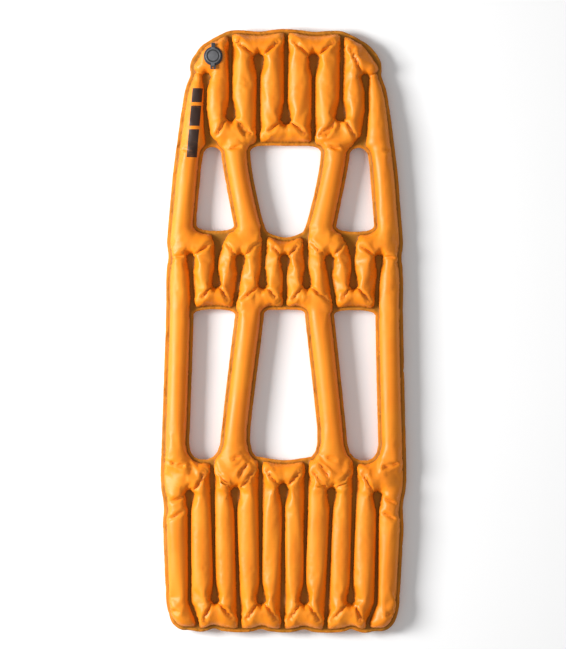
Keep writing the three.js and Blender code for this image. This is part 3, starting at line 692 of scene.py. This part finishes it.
def holed_tab(hole_at, hole, half_width, outer, inner, low, high, softness, steps=64):
    """Flat tab with a round hole: about the hole's axis, from its wall out to a rounded rectangle.

    The rectangle's distance at an angle is (|cos a / half width|^6 + |sin a / reach|^6)^(-1/6), where reach
    is the tab's length on that side of the hole.
    """
    angle = np.linspace(0, 2 * np.pi, steps, endpoint=False)[:, None]
    c, s = np.cos(angle), np.sin(angle)
    reach = np.where(s < 0, hole_at - outer, inner - hole_at)
    edge = (np.abs(c / half_width) ** 6 + np.abs(s / reach) ** 6) ** (-1 / 6)
    quarter = np.linspace(0, np.pi / 2, 5)
    inset = softness * (1 - np.sin(quarter))
    drop = softness * (1 - np.cos(quarter))
    wall = hole + inset + 0 * angle
    r = np.concatenate([wall[:, ::-1], edge - inset, edge - inset[::-1], wall], 1)
    z = np.concatenate([high - drop[::-1], high - drop, low + drop[::-1], low + drop])[None] + 0 * angle
    points = np.stack([r * c, hole_at + r * s, z], 2)
    return points.reshape(-1, 3) * mm + VALVE, grid_faces(steps, r.shape[1], True, True)


def solid_piece(name, shells, slot, body, *nodes):
    """Closed shells as one piece: doubles merged, faces outwards, flat faces kept crisp by angle."""
    bm = bmesh.new()
    for points, faces in shells:
        verts = [bm.verts.new(p) for p in points]
        for face in faces:
            bm.faces.new([verts[k] for k in face])
    bmesh.ops.remove_doubles(bm, verts=bm.verts, dist=1e-6)
    bmesh.ops.recalc_face_normals(bm, faces=bm.faces)
    me = bpy.data.meshes.new(name)
    bm.to_mesh(me)
    bm.free()
    me.shade_smooth()
    me.set_sharp_from_angle(angle=math.radians(50))
    me.materials.append(materials()[slot])
    ob = bpy.data.objects.new(name, me)
    bpy.context.scene.collection.objects.link(ob)
    settle(ob, slot, body, *nodes)
    return ob


def plug_wall(radius, low, high):
    """Profile of a plug's outer wall: from its chamfered foot, past its seal's groove, to its disc."""
    seal_at, half = (low + high) / 2, SEAL_SECTION + GAP / 2
    floor = radius - SEAL_DEPTH
    return [
        (radius - 0.8, low), (radius, low + 0.8), (radius, seal_at - half), (floor, seal_at - half),
        (floor, seal_at + half), (radius, seal_at + half), (radius, high),
    ]


# ---------------------------------------------------------------- valve sizes, millimetres above the film

FILM_LEVEL = float(VALVE[2]) / mm


def above_film(height):
    """A height of the frame, in millimetres above the film."""
    return float(height) / mm - FILM_LEVEL


def half_width_of(box):
    """Half a box's width across the pad, in millimetres."""
    return float(box[1][0] - box[0][0]) / 2 / mm


COLLAR_RADIUS = half_width_of(COLLAR_BOX)
COLLAR_LOW, COLLAR_HIGH = above_film(COLLAR_BOX[0][2]), above_film(COLLAR_BOX[1][2])
NECK_RADIUS = 12.7
BORE_RADIUS = 10.6
NECK_LOW = -10
FLANGE_RADIUS, FLANGE_LOW, FLANGE_HIGH = 16, -2.7, -1.7
GAP = CLEARANCE / mm
TAB_WIDTH, TAB_THICKNESS = 6.8, 1.4
LID_RADIUS = half_width_of(LID_BOX)
LID_LOW = COLLAR_HIGH + GAP
LID_HIGH = LID_LOW + 1.5
PLUG_LOW = above_film(LID_BOX[0][2])
PLUG_RADIUS, PORT_RADIUS, THROAT = 10.2, 8.4, 6.6
SPIDER_HIGH = PLUG_LOW + 1.2
SPIDER_BAR, SPIDER_HUB, STEM_HOLE = 2, 3, 1.5
SEAL_SECTION, SEAL_DEPTH = 0.6, 1.2
CAP_RADIUS = half_width_of(CAP_BOX)
CAP_LOW = LID_HIGH + GAP
CAP_HIGH = above_film(CAP_BOX[1][2])
CAP_PLUG_RADIUS, CAP_PLUG_WALL = 8, 2
CAP_PLUG_LOW = above_film(CAP_BOX[0][2])
CAP_GROOVE = (8.7, 11.4)
CAP_STRAP_WIDTH, CAP_STRAP_THICKNESS, CAP_LIP_WIDTH = 5.6, 1.2, 6
CAP_STRAP_MIDDLE = (CAP_LOW + CAP_HIGH) / 2
LID_HINGE = 21.6
CAP_HINGE = -16.75
# Strap bends: how far the lid's reaches into its tabs, and their share of a strap's width and thickness.
BEND_LEAD = 0.6
BEND_WIDTH, BEND_THICKNESS = 0.9, 0.72
ACROSS = (1, 0, 0)

# ---------------------------------------------------------------- node tools


def node(tree, kind, inputs=None, **settings):
    """Shader node with its settings, and its inputs linked to sockets or set to values."""
    made = tree.nodes.new(kind)
    for key, value in settings.items():
        setattr(made, key, value)
    for key, value in (inputs or {}).items():
        if isinstance(value, bpy.types.NodeSocket):
            tree.links.new(value, made.inputs[key])
        else:
            made.inputs[key].default_value = value
    return made


def calculate(tree, operation, *values):
    """Math node's output."""
    made = node(tree, "ShaderNodeMath", dict(enumerate(values)), operation=operation)
    return made.outputs[0]


def times(tree, a, b):
    """Product of two values."""
    return calculate(tree, "MULTIPLY", a, b)


def mixed(tree, factor, a, b):
    """Colour mix's output."""
    return node(tree, "ShaderNodeMix", {0: factor, 6: a, 7: b}, data_type="RGBA").outputs[2]


def ranged(tree, value, low, high, to_low=0.0, to_high=1.0):
    """Value taken smoothly from one range to another."""
    inputs = {"Value": value, "From Min": low, "From Max": high, "To Min": to_low, "To Max": to_high}
    return node(tree, "ShaderNodeMapRange", inputs, interpolation_type="SMOOTHSTEP").outputs["Result"]


def new_group(name, inputs, outputs):
    """Shader group with its sockets, and its two end nodes."""
    tree = bpy.data.node_groups.new(name, "ShaderNodeTree")
    for label, kind, value in inputs:
        socket = tree.interface.new_socket(name=label, in_out="INPUT", socket_type=kind)
        if value is not None:
            socket.default_value = value
    for label, kind in outputs:
        tree.interface.new_socket(name=label, in_out="OUTPUT", socket_type=kind)
    return tree, tree.nodes.new("NodeGroupInput").outputs, tree.nodes.new("NodeGroupOutput").inputs


def place(tree, group, inputs):
    """Group node in a material with its inputs set, and its outputs."""
    return node(tree, "ShaderNodeGroup", inputs, node_tree=group).outputs


VECTOR, FLOAT = "NodeSocketVector", "NodeSocketFloat"


def weave_group():
    """Plain weave of fine threads with the thicker ripstop threads every few millimetres."""
    tree, into, out = new_group(
        "Ripstop weave",
        [("Cloth", VECTOR, None), ("Thread", FLOAT, 0.5 * mm), ("Ripstop", FLOAT, 5 * mm)],
        [("Height", FLOAT), ("Ripstop line", FLOAT)])
    axes = node(tree, "ShaderNodeSeparateXYZ", {0: into["Cloth"]}).outputs
    waves, lines = [], []
    for axis in (axes["X"], axes["Y"]):
        turns = times(tree, calculate(tree, "DIVIDE", axis, into["Thread"]), 2 * math.pi)
        waves.append(calculate(tree, "SINE", turns))
        wrapped = calculate(tree, "PINGPONG", calculate(tree, "DIVIDE", axis, into["Ripstop"]), 0.5)
        lines.append(ranged(tree, wrapped, 0.03, 0.07, 1, 0))
    threads = calculate(tree, "MULTIPLY_ADD", times(tree, *waves), 0.5, 0.5)
    line = calculate(tree, "MAXIMUM", *lines)
    tree.links.new(calculate(tree, "MULTIPLY_ADD", line, 0.8, threads), out["Height"])
    tree.links.new(line, out["Ripstop line"])
    return tree


def grain_group():
    """Fine moulded or coated grain: noise at two sizes."""
    tree, into, out = new_group(
        "Fine grain",
        [("Place", VECTOR, None), ("Scale", FLOAT, 900.0)],
        [("Height", FLOAT), ("Patches", FLOAT)])
    fine = node(tree, "ShaderNodeTexNoise", {"Vector": into["Place"], "Scale": into["Scale"], "Detail": 3.0})
    coarse_scale = calculate(tree, "DIVIDE", into["Scale"], 14.0)
    coarse = node(tree, "ShaderNodeTexNoise", {"Vector": into["Place"], "Scale": coarse_scale, "Detail": 4.0})
    tree.links.new(fine.outputs["Fac"], out["Height"])
    tree.links.new(ranged(tree, coarse.outputs["Fac"], 0.35, 0.68), out["Patches"])
    return tree


def wear_group():
    """Scuffs: stretched noise, kept only where it is strongest."""
    tree, into, out = new_group(
        "Scuffs", [("Place", VECTOR, None), ("Scale", FLOAT, 60.0)], [("Mask", FLOAT)])
    stretched = node(tree, "ShaderNodeMapping", {"Vector": into["Place"], "Scale": (1.0, 3.5, 1.0)})
    noise = node(
        tree, "ShaderNodeTexNoise",
        {"Vector": stretched.outputs[0], "Scale": into["Scale"], "Detail": 6.0, "Roughness": 0.7})
    tree.links.new(ranged(tree, noise.outputs["Fac"], 0.58, 0.72), out["Mask"])
    return tree


def new_material(name, roughness):
    """Material with a Principled shader, and its Object coordinates."""
    material = bpy.data.materials.new(name)
    material.use_nodes = True
    tree = material.node_tree
    shader = tree.nodes["Principled BSDF"]
    shader.inputs["Roughness"].default_value = roughness
    place_of = node(tree, "ShaderNodeTexCoord").outputs["Object"]
    return material, tree, shader, place_of


def rgba(colour, share_kept=1.0):
    """Four-part colour, darkened to the share that is kept."""
    return (*(part * share_kept for part in colour), 1.0)


def surface(tree, place_of, grain_scale, scuff_scale):
    """A material's fine grain and its scuffs, as the outputs of the two groups."""
    return [
        place(tree, GROUPS[name], {"Place": place_of, "Scale": scale})
        for name, scale in (("grain", grain_scale), ("wear", scuff_scale))
    ]


def bump(tree, shader, height, strength, distance):
    """Bump from a height into the shader's normal."""
    made = node(tree, "ShaderNodeBump", {"Height": height, "Strength": strength, "Distance": distance})
    tree.links.new(made.outputs[0], shader.inputs["Normal"])


# Printed mark, in millimetres: where its middle is, how it leans with the rail, its width and its bars.
MARK_X, MARK_Y, MARK_LEAN, MARK_WIDTH = -160, 365, 0.08, 18
MARK_BARS = ((-61, -12), (-6, 30), (36, 61))


def mark_mask(tree, place_of):
    """Printed mark on the left rail: three plain bars in line, each shorter than the last.

    It leans with the rail and is only on the sleeping side.
    """
    axes = node(tree, "ShaderNodeSeparateXYZ", {0: place_of}).outputs
    y = calculate(tree, "SUBTRACT", calculate(tree, "DIVIDE", axes["Y"], mm), MARK_Y)
    lean = calculate(tree, "MULTIPLY_ADD", y, MARK_LEAN, MARK_X)
    x = calculate(tree, "SUBTRACT", calculate(tree, "DIVIDE", axes["X"], mm), lean)

    def band(value, low, high):
        above = calculate(tree, "GREATER_THAN", value, low)
        return times(tree, above, calculate(tree, "LESS_THAN", value, high))

    bars = 0.0
    for low, high in MARK_BARS:
        bars = calculate(tree, "MAXIMUM", bars, band(y, low, high))
    on_top = calculate(tree, "GREATER_THAN", axes["Z"], WELD_PLANE)
    bars = times(tree, bars, band(x, -MARK_WIDTH / 2, MARK_WIDTH / 2))
    return times(tree, bars, on_top)


def fabric_material(fabric):
    """Satin coated ripstop: faded patches, painted shade in the grooves, welds darker by their own tone and
    by painted shade, golden hem, printed mark and weave.
    """
    material, tree, shader, place_of = new_material("coated_ripstop", 0.4)
    cloth = node(tree, "ShaderNodeUVMap", uv_map="cut").outputs["UV"]
    weave = place(tree, weave_group(), {"Cloth": cloth, "Thread": 0.9 * mm, "Ripstop": 5.5 * mm})
    grain, scuffs = surface(tree, place_of, 260.0, 9.0)

    def read(name):
        return node(tree, "ShaderNodeAttribute", attribute_name=name).outputs["Fac"]

    patches = times(tree, grain["Patches"], 0.45)
    colour = mixed(tree, patches, rgba(fabric.body), rgba(fabric.light))
    colour = mixed(tree, times(tree, weave["Ripstop line"], 0.04), colour, rgba(fabric.deep))
    # Painted shade in the grooves between the tubes.
    colour = mixed(tree, times(tree, read("groove"), 0.85), colour, rgba(fabric.deep))
    # Welds: their own flatter tone, made darker still as painted shade from the tubes beside them.
    colour = mixed(tree, times(tree, read("welded"), 0.92), colour, rgba(fabric.weld))
    golden = times(tree, grain["Patches"], 0.6)
    hem_gold = mixed(tree, golden, rgba(fabric.hem), rgba(fabric.body))
    colour = mixed(tree, times(tree, read("hem"), 0.9), colour, hem_gold)
    mark = mark_mask(tree, place_of)
    worn_mark = times(tree, mark, ranged(tree, scuffs["Mask"], 0, 1, 0.97, 0.88))
    colour = mixed(tree, worn_mark, colour, rgba(fabric.mark))
    tree.links.new(colour, shader.inputs["Base Color"])
    rough = ranged(tree, grain["Patches"], 0, 1, 0.42, 0.52)
    rough = calculate(tree, "MULTIPLY_ADD", scuffs["Mask"], 0.08, rough)
    rough = calculate(tree, "MULTIPLY_ADD", read("welded"), 0.3, rough)
    tree.links.new(rough, shader.inputs["Roughness"])
    shader.inputs["Specular IOR Level"].default_value = 0.32
    height = calculate(tree, "MULTIPLY_ADD", grain["Height"], 0.5, weave["Height"])
    bump(tree, shader, height, 0.14, 0.1 * mm)
    return material


def moulded_material(name, colour, roughness, turned_marks_and_groove_shade=False):
    """Moulded polymer: fine grain, uneven tone, pale scuffs; turning marks and painted shade in the groove on
    the cap's face.
    """
    material, tree, shader, place_of = new_material(name, roughness)
    grain, scuffs = surface(tree, place_of, 1100.0, 180.0)
    pale = rgba([min(1, part * 1.7 + 0.05) for part in colour])
    shaded = rgba(colour, 0.72)
    base = mixed(tree, grain["Patches"], shaded, rgba(colour))
    base = mixed(tree, times(tree, scuffs["Mask"], 0.45), base, pale)
    height = grain["Height"]
    if turned_marks_and_groove_shade:
        centred = node(tree, "ShaderNodeMapping", {"Vector": place_of, "Location": tuple(-VALVE)}).outputs[0]
        level = {0: centred, 1: (1.0, 1.0, 0.0)}
        flat = node(tree, "ShaderNodeVectorMath", level, operation="MULTIPLY").outputs[0]
        radius = node(tree, "ShaderNodeVectorMath", {0: flat}, operation="LENGTH").outputs["Value"]
        rings = calculate(tree, "SINE", times(tree, radius, 2 * math.pi / (0.35 * mm)))
        height = calculate(tree, "MULTIPLY_ADD", rings, 0.35, height)
        # Painted shade in the cap's groove: the ring between its walls is painted dark.
        low = calculate(tree, "GREATER_THAN", radius, (CAP_GROOVE[0] + 0.1) * mm)
        high = calculate(tree, "LESS_THAN", radius, (CAP_GROOVE[1] - 0.1) * mm)
        groove = times(tree, times(tree, low, high), 0.85)
        base = mixed(tree, groove, base, rgba(colour, 0.12))
    tree.links.new(base, shader.inputs["Base Color"])
    rough = calculate(tree, "MULTIPLY_ADD", grain["Patches"], 0.14, roughness - 0.05)
    tree.links.new(calculate(tree, "MULTIPLY_ADD", scuffs["Mask"], 0.12, rough), shader.inputs["Roughness"])
    bump(tree, shader, height, 0.25, 0.08 * mm)
    return material


def silicone_material(colour):
    """Soft silicone: smooth and slightly cloudy, with a faint bloom."""
    material, tree, shader, place_of = new_material("silicone", 0.5)
    grain, scuffs = surface(tree, place_of, 700.0, 120.0)
    base = mixed(tree, grain["Patches"], rgba(colour, 0.85), rgba(colour))
    bloom = times(tree, scuffs["Mask"], 0.3)
    tree.links.new(mixed(tree, bloom, base, (0.8, 0.8, 0.78, 1)), shader.inputs["Base Color"])
    tree.links.new(ranged(tree, grain["Patches"], 0, 1, 0.42, 0.58), shader.inputs["Roughness"])
    shader.inputs["Subsurface Weight"].default_value = 0.15
    bump(tree, shader, grain["Height"], 0.12, 0.05 * mm)
    return material


GROUPS = {}
MATERIALS = {}


def materials():
    """Materials of the whole object, made once."""
    if not MATERIALS:
        GROUPS["grain"] = grain_group()
        GROUPS["wear"] = wear_group()
        fabric, valve = bpy.context.scene.pad_fabric, bpy.context.scene.pad_valve
        MATERIALS["laminate"] = fabric_material(fabric)
        MATERIALS["dark_polymer"] = moulded_material("dark_polymer", valve.dark, 0.42)
        MATERIALS["grey_polymer"] = moulded_material("grey_polymer", valve.grey, 0.36, turned_marks_and_groove_shade=True)
        MATERIALS["silicone"] = silicone_material(valve.silicone)
    return MATERIALS


def settle(piece, slot, body, *nodes):
    """Hangs a piece on the empty of the body it rides on, if it has one, and hides the frame nodes it stands
    for; the slot is not read.
    """
    if body:
        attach(piece, body)
    if nodes:
        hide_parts(*nodes)


# ---------------------------------------------------------------- operators

class PAD_OT_films(bpy.types.Operator):
    """Inflate the two welded films"""

    bl_idname = "sleeping_pad.films"
    bl_label = "Films"

    def execute(self, context):
        fabric = context.scene.pad_fabric
        laminate = materials()["laminate"]
        sheet = Sheet(Plan(), fabric.mesh_step, VALVE_HOLE)
        start = sheet.inflated(fabric)
        held = sheet.seam > ON_SEAM
        off_seat = held & (sheet.valve > VALVE_SEAT_RADIUS)
        hem = (sheet.rim < HEM_WIDTH - 2 * mm) & (sheet.seam < 0)
        start[:, 2] += TURN_NOISE * sheet.noise(3, 4) * sheet.turn_zone() * off_seat
        start[:, 2] += HEM_NOISE * sheet.noise(5, 8) * hem
        end = blown_up(sheet, start, fabric)
        rise = np.where(held, np.maximum(end[:, 2], 0.1 * mm), end[:, 2])
        top = np.column_stack([end[:, :2], WELD_PLANE + rise + fabric.film])
        upper = film_piece("upper_film_fabric", sheet, top, True, fabric, laminate)
        settle(upper, "laminate", "pad", "upper_film")
        fall = np.where(held, -rise, end[:, 2])
        depth = np.maximum(WELD_PLANE + fall - fabric.film, GROUND + LOWEST)
        bottom = np.column_stack([end[:, :2], depth])
        lower = film_piece("lower_film_fabric", sheet, bottom, False, fabric, laminate)
        settle(lower, "laminate", "pad", "lower_film")
        return {"FINISHED"}


class PAD_OT_valve_body(bpy.types.Operator):
    """Make the valve's neck and collar"""

    bl_idname = "sleeping_pad.valve_body"
    bl_label = "Valve neck and collar"

    def execute(self, context):
        valve = context.scene.pad_valve
        neck = turned([
            (BORE_RADIUS, NECK_LOW), (NECK_RADIUS, NECK_LOW), (NECK_RADIUS, FLANGE_LOW),
            (FLANGE_RADIUS, FLANGE_LOW), (FLANGE_RADIUS, FLANGE_HIGH), (NECK_RADIUS, FLANGE_HIGH),
            (NECK_RADIUS, COLLAR_HIGH), (BORE_RADIUS, COLLAR_HIGH),
        ], valve)
        solid_piece("valve_neck", [neck], "dark_polymer", "pad", "valve_base")
        inner = NECK_RADIUS + GAP
        collar = turned([
            (inner, COLLAR_LOW), (COLLAR_RADIUS, COLLAR_LOW), (COLLAR_RADIUS, COLLAR_HIGH - 0.7),
            (COLLAR_RADIUS - 0.7, COLLAR_HIGH), (inner, COLLAR_HIGH),
        ], valve)
        height = COLLAR_LOW + TAB_THICKNESS / 2
        tab = bar((0, 15, height), (0, LID_HINGE, height), ACROSS, TAB_WIDTH, TAB_THICKNESS)
        solid_piece("collar_ring", [collar, tab], "dark_polymer", "pad", "valve_collar")
        return {"FINISHED"}


class PAD_OT_lid(bpy.types.Operator):
    """Make the lid that lets the air out, with its port, spider and tabs"""

    bl_idname = "sleeping_pad.lid"
    bl_label = "Deflation lid"

    def execute(self, context):
        valve = context.scene.pad_valve
        body = turned([
            (THROAT, PLUG_LOW), *plug_wall(PLUG_RADIUS, PLUG_LOW, LID_LOW), (LID_RADIUS, LID_LOW),
            (LID_RADIUS, LID_HIGH), (PORT_RADIUS, LID_HIGH), (PORT_RADIUS, SPIDER_HIGH),
            (THROAT, SPIDER_HIGH),
        ], valve, 0.2 * mm)
        hub = turned([
            (STEM_HOLE, PLUG_LOW), (SPIDER_HUB, PLUG_LOW), (SPIDER_HUB, SPIDER_HIGH),
            (STEM_HOLE, SPIDER_HIGH),
        ], valve, 0.2 * mm)
        shells = [body, hub]
        level = (PLUG_LOW + SPIDER_HIGH) / 2
        deep = SPIDER_HIGH - PLUG_LOW
        for angle in np.arange(4) * np.pi / 2:
            way = np.array([math.cos(angle), math.sin(angle), 0])
            side = np.array([-way[1], way[0], 0])
            near, far = (way * reach + [0, 0, level] for reach in (SPIDER_HUB - 0.7, THROAT + 0.6))
            shells.append(bar(near, far, side, SPIDER_BAR, deep))
        height = LID_LOW + TAB_THICKNESS / 2
        shells.append(bar((0, 13, height), (0, LID_HINGE, height), ACROSS, TAB_WIDTH, TAB_THICKNESS))
        shells.append(holed_tab(-20.3, 1.7, 4.8, -23.1, -12.2, LID_LOW, LID_HIGH - 0.02, 0.3))
        step = -17.5
        shells.append(bar((0, step, LID_LOW + 0.1), (0, step, CAP_LOW - 0.1), ACROSS, CAP_STRAP_WIDTH, 1.2))
        solid_piece("lid_disc", shells, "dark_polymer", "lid", "deflate_lid")
        return {"FINISHED"}


class PAD_OT_cap(bpy.types.Operator):
    """Make the cap of the inflation port, with its lip and strap"""

    bl_idname = "sleeping_pad.cap"
    bl_label = "Inflation cap"

    def execute(self, context):
        valve = context.scene.pad_valve
        hollow = CAP_PLUG_RADIUS - CAP_PLUG_WALL
        inner, outer = CAP_GROOVE
        body = turned([
            (hollow, CAP_PLUG_LOW), *plug_wall(CAP_PLUG_RADIUS, CAP_PLUG_LOW, CAP_LOW),
            (CAP_RADIUS, CAP_LOW), (CAP_RADIUS, CAP_HIGH - 0.4), (CAP_RADIUS - 0.6, CAP_HIGH),
            (outer, CAP_HIGH), (outer, CAP_HIGH - 0.8), (inner, CAP_HIGH - 0.8), (inner, CAP_HIGH),
            (0, CAP_HIGH), (0, CAP_LOW), (hollow, CAP_LOW),
        ], valve, 0.18 * mm)
        level = CAP_STRAP_MIDDLE
        strap = bar((0, -12.2, level), (0, -16.6, level), ACROSS, CAP_STRAP_WIDTH, CAP_STRAP_THICKNESS)
        lip = bar((0, 12.2, level), (0, 14.7, level), ACROSS, CAP_LIP_WIDTH, CAP_STRAP_THICKNESS)
        solid_piece("cap_disc", [body, strap, lip], "grey_polymer", "cap", "inflate_cap")
        return {"FINISHED"}


class PAD_OT_soft_parts(bpy.types.Operator):
    """Make the one-way flap and the two sealing rings"""

    bl_idname = "sleeping_pad.soft_parts"
    bl_label = "Flap and seals"

    def execute(self, context):
        valve = context.scene.pad_valve
        low, high = (above_film(FLAP_BOX[k][2]) for k in (0, 1))
        radius = half_width_of(FLAP_BOX)
        head = high - 0.8
        flap = turned([
            (0, low), (radius, low + 0.25), (radius, low + 0.8), (1.1, low + 0.8), (1.1, head), (2.1, head),
            (2.1, head + 0.4), (1.1, high), (0, high),
        ], valve, 0.12 * mm)
        solid_piece("one_way_flap", [flap], "silicone", "flap", "check_flap")
        inset = -SEAL_DEPTH + GAP / 2 + SEAL_SECTION
        for name, radius, low, high, body, stands_for in (
            ("lid_seal", PLUG_RADIUS, PLUG_LOW, LID_LOW, "lid", "lid_seal_ring"),
            ("cap_seal", CAP_PLUG_RADIUS, CAP_PLUG_LOW, CAP_LOW, "cap", "cap_seal_ring"),
        ):
            seal = ring(radius + inset, (low + high) / 2, SEAL_SECTION, valve)
            solid_piece(name, [seal], "silicone", body, stands_for)
        return {"FINISHED"}


class PAD_OT_straps(bpy.types.Operator):
    """Make the two bends of strap that the lid and the cap hinge on"""

    bl_idname = "sleeping_pad.straps"
    bl_label = "Strap bends"

    def execute(self, context):
        low, high = COLLAR_LOW + TAB_THICKNESS / 2, LID_LOW + TAB_THICKNESS / 2
        middle, radius = (low + high) / 2, (high - low) / 2
        angle = np.linspace(-np.pi / 2, np.pi / 2, 13)
        y, z = LID_HINGE + radius * np.cos(angle), middle + radius * np.sin(angle)
        lead = LID_HINGE - BEND_LEAD
        path = np.vstack([[0, lead, low], np.stack([0 * angle, y, z], 1), [0, lead, high]])
        strap = swept(path, ACROSS, TAB_WIDTH * BEND_WIDTH, TAB_THICKNESS * BEND_THICKNESS)
        bend = solid_piece("lid_strap_bend", [strap], "dark_polymer", None)
        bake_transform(bend)
        level, reach = CAP_STRAP_MIDDLE, 1.0
        angle = np.linspace(np.pi / 2, np.pi, 9)
        y, z = CAP_HINGE + 0.2 + reach * np.cos(angle), level - reach + reach * np.sin(angle)
        foot = [0, CAP_HINGE + 0.2 - reach, CAP_LOW - 0.4]
        path = np.vstack([[0, CAP_HINGE + 0.7, level], np.stack([0 * angle, y, z], 1), foot])
        strap = swept(path, ACROSS, CAP_STRAP_WIDTH * BEND_WIDTH, 0.8)
        turn = solid_piece("cap_strap_bend", [strap], "grey_polymer", None)
        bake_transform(turn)
        return {"FINISHED"}


# Where the camera stands over the pad and how it is turned, and where the two lights are and how large.
CAMERA_AT = (-2.6 * mm, 11 * mm)
CAMERA_ROLL = math.radians(0.35)
KEY_LIGHT = ((-2.8, 0.3, 1.7), 1.2)
FILL_LIGHT = ((0.4, -0.3, 3.2), 3.6)
SKY = 0.33


class PAD_OT_stage(bpy.types.Operator):
    """Set the floor, the lights and the camera"""

    bl_idname = "sleeping_pad.stage"
    bl_label = "Studio"

    def execute(self, context):
        stage = context.scene.pad_stage
        scene = context.scene
        half = stage.floor_size / 2
        corners = np.array([(-1, -1, 0), (1, -1, 0), (1, 1, 0), (-1, 1, 0)]) * half
        me = bpy.data.meshes.new("studio_floor")
        me.from_pydata((corners + [0, 0, GROUND - 0.2 * mm]).tolist(), [], [(0, 1, 2, 3)])
        material, tree, shader, place_of = new_material("paper_floor", 0.9)
        noise = node(tree, "ShaderNodeTexNoise", {"Vector": place_of, "Scale": 3.0, "Detail": 3.0})
        paper = mixed(tree, noise.outputs["Fac"], (0.93, 0.93, 0.93, 1), (0.95, 0.95, 0.95, 1))
        tree.links.new(paper, shader.inputs["Base Color"])
        me.materials.append(material)
        floor = bpy.data.objects.new("studio_floor", me)
        scene.collection.objects.link(floor)
        world = bpy.data.worlds.new("studio")
        world.use_nodes = True
        sky = world.node_tree.nodes["Background"].inputs
        sky["Color"].default_value = (1, 1, 1, 1)
        sky["Strength"].default_value = SKY
        scene.world = world
        for name, power, (place_at, size) in (
            ("key_light", stage.key_power, KEY_LIGHT),
            ("fill_light", stage.fill_power, FILL_LIGHT),
        ):
            light = bpy.data.lights.new(name, "AREA")
            light.energy = power
            light.size = size
            ob = bpy.data.objects.new(name, light)
            scene.collection.objects.link(ob)
            ob.location = place_at
            ob.rotation_euler = (-Vector(place_at)).to_track_quat("-Z", "Y").to_euler()
        camera = bpy.data.cameras.new("camera")
        camera.sensor_fit = "VERTICAL"
        camera.angle = 2 * math.atan(stage.view_height / 2 / (stage.camera_height - WELD_PLANE))
        camera.clip_end = 20
        ob = bpy.data.objects.new("camera", camera)
        ob.location = (CAMERA_AT[0], CAMERA_AT[1], stage.camera_height)
        ob.rotation_euler = (0, 0, CAMERA_ROLL)
        scene.collection.objects.link(ob)
        scene.camera = ob
        scene.view_settings.view_transform = "Standard"
        return {"FINISHED"}


class PAD_PT_panel(bpy.types.Panel):
    """Sidebar list of the pad's operators"""

    bl_label = "Sleeping pad"
    bl_idname = "PAD_PT_panel"
    bl_space_type = "VIEW_3D"
    bl_region_type = "UI"
    bl_category = "Sleeping pad"

    def draw(self, context):
        for operator in OPERATORS:
            self.layout.operator(operator.bl_idname)
        for group in (context.scene.pad_fabric, context.scene.pad_valve, context.scene.pad_stage):
            for key in group.__annotations__:
                self.layout.prop(group, key)


OPERATORS = (
    PAD_OT_stage, PAD_OT_films, PAD_OT_valve_body, PAD_OT_lid, PAD_OT_cap, PAD_OT_soft_parts, PAD_OT_straps,
)
SETTINGS = (("pad_fabric", FabricSettings), ("pad_valve", ValveSettings), ("pad_stage", StageSettings))


def register():
    for _, group in SETTINGS:
        bpy.utils.register_class(group)
    for operator in OPERATORS:
        bpy.utils.register_class(operator)
    bpy.utils.register_class(PAD_PT_panel)
    for name, group in SETTINGS:
        setattr(bpy.types.Scene, name, PointerProperty(type=group))


def unregister():
    for name, _ in SETTINGS:
        delattr(bpy.types.Scene, name)
    for kind in (PAD_PT_panel, *reversed(OPERATORS), *(group for _, group in SETTINGS)):
        bpy.utils.unregister_class(kind)


def main():
    """Builds the whole model in order."""
    register()
    bpy.ops.sleeping_pad.stage()
    bpy.ops.sleeping_pad.films()
    bpy.ops.sleeping_pad.valve_body()
    bpy.ops.sleeping_pad.lid()
    bpy.ops.sleeping_pad.cap()
    bpy.ops.sleeping_pad.soft_parts()
    bpy.ops.sleeping_pad.straps()


if __name__ == "__main__":
    main()
